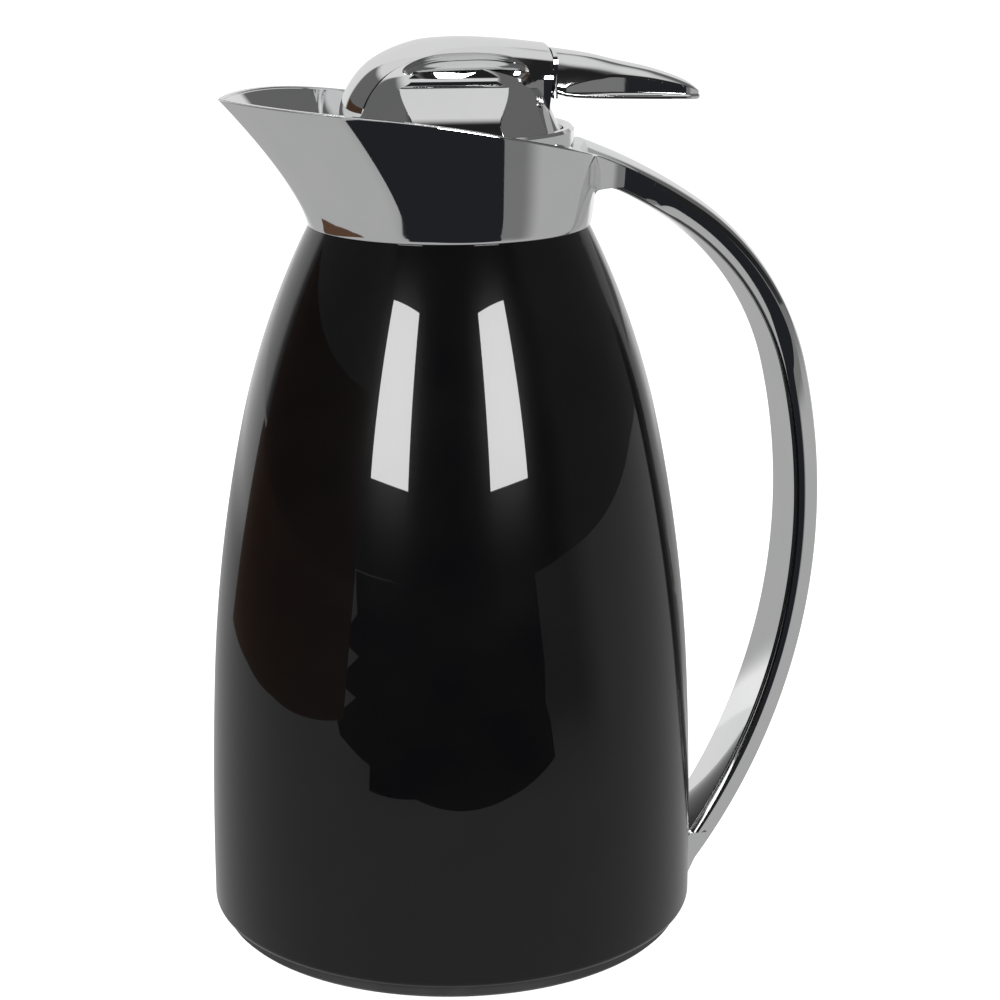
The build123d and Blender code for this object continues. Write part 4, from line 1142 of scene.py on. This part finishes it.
@dataclass
class LidCap:
    """The lid's bright cap: a steep round foot crossed by an arched grip with two finger wells."""

    base: float = 228.2
    rim_radius: float = 31.3
    rim_edge: float = 229.4
    rim_play: float = 0.2
    rim_step: float = 0.3
    dome: tuple = ((31.1, 229.4), (28.7, 234.5), (26.3, 240.2), (24.2, 243.4), (21.3, 246.4),
                   (17.0, 249.0), (11.0, 250.8))
    dome_steps: int = 12
    dome_turns: int = 300
    recess: tuple = ((28.3, 230.0), (27.5, 232.6), (26.2, 235.2), (24.4, 237.8), (22.3, 240.5),
                     (19.9, 243.1))
    bead: tuple = ((20.2, 243.8), (20.2, 244.6), (19.7, 245.3), (18.9, 245.6))
    flank_steps: tuple = (14, 8)
    flank_top: tuple = (16.0, 252.0)
    flank_foot: float = 28.0
    flank_opening: float = 0.16
    deck: tuple = ((31.6, 240.8), (19.5, 241.9), (16.6, 243.2), (14.5, 245.4), (11.0, 248.0),
                   (0.0, 251.0), (-31.6, 251.0))
    past: float = 40.0
    under: float = 1.0
    grip_half: float = 10.0
    grip_draft: float = 0.55
    grip_front: float = 30.2
    grip_upright: float = 234.2
    grip_steps: int = 40
    crown_steps: int = 41
    side_steps: int = 30
    grip_rear: float = 24.5
    draft_depths: tuple = (9.0, 4.6)
    draft_full: float = 20.0
    rear_span: tuple = (12.0, 25.0)
    crown_drop: float = 3.6
    crown_power: float = 2.3
    well_x: float = 2.0
    well_y: float = 12.9
    well_z: float = 246.4
    well_radius: float = 5.9
    well_length: float = 17.8
    well_power: float = 2.6
    well_grid: tuple = (81, 96)
    cavity: tuple = (-5.5, 25.2, 233.2, 247.0)
    cavity_half: float = 4.9
    sill: float = 236.7
    doorway: float = 33.0
    bore: float = 6.8
    bore_rise: float = 0.5
    bore_turns: int = 64
    pin: tuple = (21.5, 238.5, 1.52)
    pin_turns: int = 40
    pin_reach: float = 20.0

    def arch(self, steps: int) -> Array:
        """The grip's outline over its top, from the base in front to the rear.

        Args:
            steps: points per span.

        Returns:
            The outline's points, as rows of x and z.
        """
        foot = np.array([(-self.grip_front, self.base), (-self.grip_front, self.grip_upright)])
        nodes = np.concatenate([foot, ARCH])
        slopes = np.gradient(nodes, axis=0)
        slopes[:2] = (0.0, self.grip_upright - self.base)
        return flowing(nodes, steps, slopes)

    def grip(self) -> Shell:
        """The arched grip: at each place along the arch, a crowned top with a crisp edge, and sides
        that spread as they run down to the base.

        Returns:
            The grip's shell.
        """
        line = self.arch(self.grip_steps)
        heading = np.gradient(line, axis=0)
        heading /= np.linalg.norm(heading, axis=1, keepdims=True)
        inwards = np.stack([heading[:, 1], -heading[:, 0]], axis=-1)
        inwards[-1] = (0.0, -1.0)
        across = np.sin(np.linspace(-np.pi / 2, np.pi / 2, self.crown_steps))
        drop = self.crown_drop * np.abs(across) ** self.crown_power
        crown = line[:, None] + inwards[:, None] * drop[None, :, None]
        crown_y = np.broadcast_to(self.grip_half * across, crown.shape[:2])
        edge = line + inwards * self.crown_drop
        walked = np.concatenate([[0.0], np.linalg.norm(np.diff(edge, axis=0), axis=1).cumsum()])
        floor_x = edge[0, 0] + (self.grip_rear - edge[0, 0]) * walked / walked[-1]
        floor = np.stack([floor_x, np.full_like(floor_x, self.base)], axis=-1)
        share = np.linspace(0.0, 1.0, self.side_steps)[None, 1:, None]
        side = edge[:, None] + share * (floor - edge)[:, None]
        front, rear = self.draft_depths
        limit = front + (rear - front) * eased(side[..., 0], *self.rear_span)
        fallen = np.minimum(edge[:, None, 1] - side[..., 1], limit)
        height = np.clip((edge[:, None, 1] - self.base) / self.draft_full, 0.0, 1.0)
        right_y = self.grip_half + self.grip_draft * fallen * height
        grid_xz = np.concatenate([side[:, ::-1], crown, side], axis=1)
        grid_y = np.concatenate([-right_y[:, ::-1], crown_y, right_y], axis=1)
        points = np.stack([grid_xz[..., 0], grid_y, grid_xz[..., 1]], axis=-1)
        return Shell().grid(points, wrap_v=True, caps=True)

    def foot(self) -> bpy.types.Object:
        """The round foot: a steep dome, cut down to a deck behind, its two flanks hollowed up to a
        rounded bead along lines that open a little to the rear.

        Returns:
            The foot.
        """
        rim = [(0.0, self.base), (self.rim_radius - self.rim_play, self.base),
               (self.rim_radius, self.base + self.rim_play),
               (self.rim_radius, self.rim_edge - self.rim_step)]
        dome = flowing(np.array(self.dome), self.dome_steps)
        outline = np.concatenate([rim, dome, [(0.0, self.dome[-1][1])]])
        foot = Shell().grid(revolved(outline, self.dome_turns), wrap_u=True).build("lid_foot")
        ends = np.array([[-self.past], [self.past]])
        low = self.base - self.under
        lines = zip((self.recess, self.bead), self.flank_steps)
        flank = np.concatenate([flowing(np.array(nodes), steps) for nodes, steps in lines])
        right = np.concatenate([[(self.flank_foot, low)], flank, [self.flank_top]])
        loop = np.concatenate([right, right[::-1] * (-1.0, 1.0)])
        across = loop[:, 0] + self.flank_opening * ends * np.sign(loop[:, 0])
        flanks = np.stack(np.broadcast_arrays(ends, across, loop[:, 1]), axis=-1)
        deck = np.concatenate([[(self.deck[0][0], low)], self.deck, [(self.deck[-1][0], low)]])
        decks = np.stack(np.broadcast_arrays(deck[:, 0], ends, deck[:, 1]), axis=-1)
        for name, prism in (("lid_flanks", flanks), ("lid_deck", decks)):
            cutter = Shell().grid(prism, wrap_v=True, caps=True).build(name)
            combine(foot, cutter, "INTERSECT")
        return foot

    def wells(self) -> list[Shell]:
        """The finger wells: spindles along X, of radius r (1 - (x / length)^power)^(1/2).

        Returns:
            The near and the far well's shell.
        """
        along, around = self.well_grid
        reach = np.sin(np.linspace(-np.pi / 2, np.pi / 2, along))
        left = np.clip(1 - np.abs(reach) ** self.well_power, 0.0, None)
        radius = self.well_radius * np.sqrt(left)
        turn = np.linspace(0.0, 2 * np.pi, around, endpoint=False)[:, None]
        x = self.well_x + self.well_length * reach + 0 * turn
        spread, z = radius * np.cos(turn), self.well_z + radius * np.sin(turn)
        return [Shell().grid(np.stack([x, middle + spread, z], axis=-1), wrap_u=True)
                for middle in (-self.well_y, self.well_y)]

    def hollow(self) -> list[Shell]:
        """The spaces inside: the rocking arm's slot with its doorway, the guide's bore, the pin's.

        Returns:
            The three shells.
        """
        front, rear, low, high = self.cavity
        slot = np.array([(front, low), (rear, low), (rear, self.sill), (self.doorway, self.sill),
                         (self.doorway, high), (front, high)])
        ends = np.array([[-1.0], [1.0]])
        sides = self.cavity_half * ends
        box = np.stack(np.broadcast_arrays(slot[:, 0], sides, slot[:, 1]), axis=-1)
        foot, top = self.base - self.under, low + self.bore_rise
        bore = np.array([(0.0, foot), (self.bore, foot), (self.bore, top), (0.0, top)])
        turn = np.linspace(0.0, 2 * np.pi, self.pin_turns, endpoint=False)
        x, z, radius = self.pin
        ring_x, ring_z = x + radius * np.cos(turn), z + radius * np.sin(turn)
        pin = np.stack(np.broadcast_arrays(ring_x, self.pin_reach * ends, ring_z), axis=-1)
        return [
            Shell().grid(box, wrap_v=True, caps=True),
            Shell().grid(revolved(bore, self.bore_turns), wrap_u=True),
            Shell().grid(pin, wrap_v=True, caps=True),
        ]

    def build(self, wardrobe: Wardrobe) -> bpy.types.Object:
        """Joins the grip to its foot, hollows them and dresses the cap.

        Args:
            wardrobe: the materials.

        Returns:
            The cap.
        """
        cap = combine(self.grip().build("lid_grip_cap"), self.foot(), "UNION")
        for index, space in enumerate(self.wells() + self.hollow()):
            combine(cap, space.build(f"lid_space_{index}"), "DIFFERENCE")
        even_normals(cap)
        wardrobe.dress(cap, Finishes.CHROME)
        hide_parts("lid_cap")
        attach(cap, "lid")
        return cap


@dataclass
class Lever:
    """The thumb lever: a beak that is round above, with a crescent cut in each side over a lip,
    on the rocking arm that the frame gives it."""

    root: float = 27.35
    reach: float = 72.4
    tip_round: float = 6.0
    widths: tuple = (9.6, 7.4)
    tops: tuple = ((0.0, 251.7), (0.25, 249.9), (0.46, 247.6), (0.67, 245.4), (0.89, 241.9),
                   (1.0, 238.6))
    bottoms: tuple = ((0.0, 240.0), (0.05, 239.2), (0.12, 238.5), (0.25, 238.0), (0.6, 237.3),
                      (1.0, 236.6))
    power: float = 2.15
    crescent: tuple = ((0.0, 0.02), (0.08, 0.05), (0.3, 0.8), (0.5, 1.5), (0.85, 1.4), (1.0, 0.9))
    lip: float = 0.9
    lip_levels: tuple = (0.25, 0.15, 0.35)
    lip_steps: tuple = (0.02, 0.3)
    hollow: tuple = (0.5, 4.0)
    tip_close: tuple = (0.985, 2.2)
    bunching: float = 0.9
    cut_limit: float = 0.3
    lip_limit: float = 0.35
    steps: int = 150
    top_steps: int = 34
    cut_steps: int = 8
    under_steps: int = 12
    station_steps: int = 20
    arm_low: tuple = (-60.0, -12.0, 220.0)
    arm_high: tuple = (28.55, 12.0, 262.0)

    def beak(self) -> Shell:
        """The beak: sections across X whose upper part is a quarter of a superellipse.

        The half width shrinks as a circle does over the tip's length. The top and the
        bottom are smooth curves over the share of the reach.

        Returns:
            The beak's shell.
        """
        turn = np.linspace(0.0, 1.0, self.steps)
        x = self.root + (self.reach - self.root) * np.sin(turn * np.pi / 2) ** self.bunching
        share = (x - self.root) / (self.reach - self.root)
        tip = np.clip((x - self.reach + self.tip_round) / self.tip_round, 0.0, 1.0)
        close, power = self.tip_close
        half = self.widths[0] + (self.widths[1] - self.widths[0]) * share
        half = half * np.sqrt(1.0 - close * tip**power)
        lines = (self.tops, self.bottoms, self.crescent)
        top, bottom, cut = (self.over(share, stations) for stations in lines)
        cut = np.minimum(cut, self.cut_limit * half)[:, None]
        half, top, bottom = half[:, None], top[:, None], bottom[:, None]
        lip = np.minimum(self.lip, self.lip_limit * (top - bottom))
        middle = bottom + lip
        limit = 1.0 - cut / half
        share = np.linspace(0.0, 1.0, self.top_steps)[None]
        angle = share * np.arcsin(limit ** (self.power / 2))
        y_top = half * np.sin(angle) ** (2 / self.power)
        z_top = middle + (top - middle) * np.cos(angle) ** (2 / self.power)
        down = np.linspace(0.0, 1.0, self.cut_steps)[None, 1:]
        above, shoulder, foot = (level * lip for level in self.lip_levels)
        y_cut = half - cut + 0 * down
        z_cut = z_top[:, -1:] + (middle + above - z_top[:, -1:]) * down
        outer, inner = self.lip_steps
        y_foot = half - inner * np.minimum(1.0, half)
        y_lip = np.concatenate([half - outer, half, half, y_foot], axis=1)
        z_lip = np.concatenate([middle, middle - shoulder, bottom + foot, bottom], axis=1)
        under = np.linspace(1.0, 0.0, self.under_steps)[None, 1:]
        depth, full_half = self.hollow
        y_under = y_foot * under
        z_under = bottom + depth * (1 - under**2) * np.minimum(1.0, half / full_half)
        right_y = np.concatenate([y_top, y_cut, y_lip, y_under], axis=1)
        right_z = np.concatenate([z_top, z_cut, z_lip, z_under], axis=1)
        grid_y = np.concatenate([right_y, -right_y[:, -2:0:-1]], axis=1)
        grid_z = np.concatenate([right_z, right_z[:, -2:0:-1]], axis=1)
        points = np.stack([np.broadcast_to(x[:, None], grid_y.shape), grid_y, grid_z], axis=-1)
        return Shell().grid(points, wrap_v=True, caps=True)

    def over(self, share: Array, stations: tuple) -> Array:
        """Reads a smooth curve through (share, value) stations at each share."""
        curve = flowing(np.array(stations), self.station_steps)
        return np.interp(share, curve[:, 0], curve[:, 1])

    def arm(self) -> bpy.types.Object:
        """The rocking arm: a welded copy of the frame's lever, kept to just past the beak's root.

        Returns:
            The arm.
        """
        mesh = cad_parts["lever"].data.copy()
        arm = bpy.data.objects.new("lever_arm", mesh)
        bpy.context.scene.collection.objects.link(arm)
        tidy_mesh(mesh, COPY_WELD)
        x, y, z = np.stack([self.arm_low, self.arm_high], axis=-1)
        loop = np.broadcast_arrays(x[[0, 1, 1, 0]], y[:, None], z[[0, 0, 1, 1]])
        box = Shell().grid(np.stack(loop, axis=-1), wrap_v=True, caps=True)
        return combine(arm, box.build("lever_end"), "INTERSECT")

    def build(self, wardrobe: Wardrobe) -> bpy.types.Object:
        """Joins the beak to its arm and dresses the lever.

        Args:
            wardrobe: the materials.

        Returns:
            The lever.
        """
        lever = combine(self.beak().build("thumb_lever"), self.arm(), "UNION")
        even_normals(lever)
        wardrobe.dress(lever, Finishes.CHROME)
        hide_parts("lever")
        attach(lever, "lever")
        return lever


# ---------------------------------------------------------------- the studio


@dataclass
class Studio:
    """The floor, the lamps, what the bright metal mirrors, and the camera."""

    camera_place: tuple = (-0.16899, -0.68583, 0.31835)
    camera_heading: tuple = (0.2495, 0.9313, -0.2654)
    focal_length: float = 92.16
    floor_size: float = 12.0
    floor_tone: float = 0.8
    floor_fill: float = 0.80
    floor_mirrored: float = 0.43
    floor_rear: float = 0.48
    floor_fade: float = 0.24
    rear_azimuths: tuple = (2.25, 2.45)
    rear_distances: tuple = (0.60, 1.00)
    front_azimuths: tuple = (0.75, 1.1)
    front_distances: tuple = (0.20, 0.46)
    ambient: float = 0.55
    ceiling: float = 0.90
    backdrop: float = 0.95
    right_wall: float = 0.17
    left_wall: float = 0.17
    front_wall: float = 0.02
    ceiling_span: tuple = (0.72, 0.86)
    backdrop_span: tuple = (2.36, 2.50)
    right_span: tuple = (0.60, 0.95)
    left_span: tuple = (0.95, 1.2)
    card_height: float = 0.001
    dark_outline: tuple = (
        (-0.30, -0.16), (-0.22, -0.20), (-0.19, -0.175), (-0.12, -0.225), (-0.05, -0.235),
        (0.04, -0.25), (0.15, -0.26), (0.19, -0.34), (0.21, -0.40), (0.33, -0.60), (3.1, -5.9),
        (-4.6, -5.9), (-5.4, -3.0), (-1.2, -0.74), (-0.80, -0.36), (-0.62, -0.42),
        (-0.50, -0.22), (-0.40, -0.27), (-0.36, -0.17),
    )
    dark_glow: tuple = (0.8, 0.85, 1.0, 0.02)
    brown_outline: tuple = ((-0.335, -0.185), (-0.345, -0.060), (-0.350, 0.060), (-0.330, 0.190),
                            (-0.280, 0.315), (-3.6, 4.04), (-4.2, -2.32))
    brown_strengths: tuple = (0.10, 0.06)
    panel_angles: tuple = (-61.0, -75.0, -90.0, -105.0, -120.0, -134.0)
    panel_radius: float = 3.0
    panel_height: float = 1.1
    brown: tuple = (1.0, 0.55, 0.35)
    softbox_size: tuple = (0.35, 0.55)
    softbox_radiance: float = 19.0
    softbox_distance: float = 1.0
    softbox_height: float = 0.537
    softbox_angles: tuple = (-45.0, 16.5)
    sensor_width: float = 36.0
    clip_span: tuple = (0.01, 100.0)

    def emitter(self, name: str, color: tuple, strength: float) -> bpy.types.Material:
        """A plain glowing surface for a card.

        Args:
            name: the material's name.
            color: its red, green and blue.
            strength: how brightly it glows.

        Returns:
            The material.
        """
        made = bpy.data.materials.new(name)
        made.use_nodes = True
        made.node_tree.nodes.clear()
        nodes = Nodes(made.node_tree)
        glow = nodes.add("ShaderNodeEmission", Color=(*color, 1.0), Strength=strength)
        nodes.add("ShaderNodeOutputMaterial", Surface=glow.outputs[0])
        return made

    def sheet(self, name: str, outline: tuple, height: float = 0.0) -> bpy.types.Object:
        """A level polygon that belongs to the studio.

        Args:
            name: its name.
            outline: its corners' x and y, or x, y and z.
            height: the z of corners that have none.

        Returns:
            The polygon.
        """
        corners = [(*corner, height)[:3] for corner in outline]
        mesh = bpy.data.meshes.new(name)
        mesh.from_pydata(corners, [], [list(range(len(corners)))])
        thing = bpy.data.objects.new(name, mesh)
        bpy.context.scene.collection.objects.link(thing)
        return thing

    def card(self, thing: bpy.types.Object, color: tuple, strength: float) -> None:
        """Makes a sheet a card that only mirroring surfaces see, as a panel round a product stand.

        Args:
            thing: the sheet.
            color: its red, green and blue.
            strength: how brightly it glows.
        """
        thing.data.materials.append(self.emitter(thing.name, color, strength))
        for kind in ("visible_camera", "visible_diffuse", "visible_shadow", "visible_transmission"):
            setattr(thing, kind, False)

    def floor(self) -> None:
        """The pale floor: it is lifted for the camera, glows in mirrors and keeps the shadow."""
        half = self.floor_size / 2
        thing = self.sheet("floor", ((-half, -half), (half, -half), (half, half), (-half, half)))
        made = bpy.data.materials.new("floor")
        made.use_nodes = True
        made.node_tree.nodes.clear()
        nodes = Nodes(made.node_tree)
        path = nodes.add("ShaderNodeLightPath")
        glossy, through = path.outputs["Is Glossy Ray"], path.outputs["Is Transmission Ray"]
        mirrored = nodes.maths("MAXIMUM", glossy, through)
        fill = nodes.maths("MULTIPLY", path.outputs["Is Camera Ray"], self.floor_fill)
        plain = nodes.add("ShaderNodeBsdfDiffuse", Color=(*[self.floor_tone] * 3, 1.0))
        glow = nodes.add("ShaderNodeEmission", Strength=fill)
        direct = nodes.add("ShaderNodeAddShader", i0=plain.outputs[0], i1=glow.outputs[0])
        place = nodes.add("ShaderNodeTexCoord").outputs["Object"]
        x, y, _ = nodes.add("ShaderNodeSeparateXYZ", Vector=place).outputs
        azimuth = nodes.maths("ARCTAN2", x, nodes.maths("MULTIPLY", y, -1.0))
        azimuth = nodes.maths("ABSOLUTE", azimuth)
        distance = nodes.add("ShaderNodeVectorMath", {"operation": "LENGTH"}, i0=place)
        distance = distance.outputs["Value"]
        rear = nodes.span(azimuth, *self.rear_azimuths)
        rear = nodes.maths("MULTIPLY", rear, nodes.span(distance, *self.rear_distances))
        front = nodes.maths("SUBTRACT", 1.0, nodes.span(azimuth, *self.front_azimuths))
        front = nodes.maths("MULTIPLY", front, nodes.span(distance, *self.front_distances))
        level = nodes.maths("MULTIPLY", rear, self.floor_rear)
        level = nodes.maths("ADD", level, self.floor_mirrored)
        level = nodes.maths("SUBTRACT", level, nodes.maths("MULTIPLY", front, self.floor_fade))
        image = nodes.add("ShaderNodeEmission", Strength=level)
        both = nodes.add(
            "ShaderNodeMixShader", i0=mirrored, i1=direct.outputs[0], i2=image.outputs[0]
        )
        nodes.add("ShaderNodeOutputMaterial", Surface=both.outputs[0])
        thing.data.materials.append(made)

    def surroundings(self) -> None:
        """The world: white to the camera, even for matt surfaces, and a room for mirroring ones.

        The room is told by the direction's azimuth, 0 in front and growing to the right: it is
        dark in front, dim and brown at the left, grey at the right and white behind, under a
        light ceiling.
        """
        world = bpy.data.worlds.new("studio")
        bpy.context.scene.world = world
        world.use_nodes = True
        world.node_tree.nodes.clear()
        nodes = Nodes(world.node_tree)
        path = nodes.add("ShaderNodeLightPath")
        aim = nodes.add("ShaderNodeTexCoord").outputs["Generated"]
        x, y, z = nodes.add("ShaderNodeSeparateXYZ", Vector=aim).outputs
        azimuth = nodes.maths("ARCTAN2", x, nodes.maths("MULTIPLY", y, -1.0))
        mirrored = self.front_wall
        for direction, edges, brightness in (
            (z, self.ceiling_span, self.ceiling),
            (nodes.maths("ABSOLUTE", azimuth), self.backdrop_span, self.backdrop),
            (azimuth, self.right_span, self.right_wall),
            (nodes.maths("MULTIPLY", azimuth, -1.0), self.left_span, self.left_wall),
        ):
            wall = nodes.maths("MULTIPLY", nodes.span(direction, *edges), brightness)
            mirrored = nodes.maths("MAXIMUM", wall, mirrored)
        glossy, through = path.outputs["Is Glossy Ray"], path.outputs["Is Transmission Ray"]
        seen = nodes.maths("MAXIMUM", path.outputs["Is Camera Ray"], through)
        rest = nodes.maths("SUBTRACT", 1.0, nodes.maths("ADD", glossy, seen), clamp=True)
        level = nodes.maths("ADD", seen, nodes.maths("MULTIPLY", rest, self.ambient))
        level = nodes.maths("ADD", level, nodes.maths("MULTIPLY", glossy, mirrored))
        glow = nodes.add("ShaderNodeBackground", Strength=level)
        nodes.add("ShaderNodeOutputWorld", Surface=glow.outputs[0])

    def softboxes(self) -> None:
        """Two upright softboxes in front, whose images are the pale strips on the lacquer."""
        width, height = self.softbox_size
        for number, angle in enumerate(np.radians(self.softbox_angles)):
            lamp = bpy.data.lights.new(f"softbox_{number}", "AREA")
            lamp.shape = "RECTANGLE"
            lamp.size, lamp.size_y = width, height
            lamp.energy = self.softbox_radiance * np.pi * width * height
            thing = bpy.data.objects.new(lamp.name, lamp)
            bpy.context.scene.collection.objects.link(thing)
            place = Vector((np.sin(angle), -np.cos(angle), 0.0)) * self.softbox_distance
            thing.location = place + Vector((0.0, 0.0, self.softbox_height))
            thing.rotation_euler = (-place).to_track_quat("-Z", "Y").to_euler()

    def cards(self) -> None:
        """The dark floor of the room in front, and a dim brown floor and panel at the left."""
        *dark, dark_strength = self.dark_glow
        floor_strength, panel_strength = self.brown_strengths
        dark_floor = self.sheet("dark_floor", self.dark_outline, self.card_height)
        self.card(dark_floor, dark, dark_strength)
        brown_floor = self.sheet("brown_floor", self.brown_outline, 2 * self.card_height)
        self.card(brown_floor, self.brown, floor_strength)
        angles = np.radians(self.panel_angles)
        ring = self.panel_radius * np.stack([np.sin(angles), -np.cos(angles)], axis=-1)
        for (x0, y0), (x1, y1) in zip(ring, ring[1:]):
            top = self.panel_height
            corners = ((x0, y0, 0.0), (x1, y1, 0.0), (x1, y1, top), (x0, y0, top))
            self.card(self.sheet("brown_panel", corners), self.brown, panel_strength)

    def camera(self) -> None:
        """The camera, where the photograph's own perspective puts it."""
        made = bpy.data.cameras.new("camera")
        made.lens = self.focal_length
        made.sensor_width = self.sensor_width
        made.clip_start, made.clip_end = self.clip_span
        thing = bpy.data.objects.new("camera", made)
        bpy.context.scene.collection.objects.link(thing)
        thing.location = self.camera_place
        thing.rotation_euler = Vector(self.camera_heading).to_track_quat("-Z", "Y").to_euler()
        bpy.context.scene.camera = thing

    def build(self) -> None:
        """Sets everything up round the jug."""
        self.camera()
        self.floor()
        self.surroundings()
        self.softboxes()
        self.cards()
        bpy.context.scene.view_settings.view_transform = "Standard"


def main() -> None:
    """Builds the jug's looks in order, piece by piece, and the studio round it."""
    logging.basicConfig(level=logging.INFO, format="%(message)s")
    wardrobe = Wardrobe()
    wardrobe.fill()
    wardrobe.dress_frame()
    casing, collar = Casing(), Collar()
    for piece in (
        casing.build(wardrobe),
        collar.build(wardrobe, casing),
        Liner().build(wardrobe, collar),
        LidCap().build(wardrobe),
        Lever().build(wardrobe),
    ):
        log.info("%s: %d faces", piece.name, len(piece.data.polygons))
    Studio().build()


def plain(box: tuple) -> list[list[float]]:
    """A box's two corners as plain lists."""
    return [[float(value) for value in corner] for corner in box]


if __name__ == "__main__":
    main()
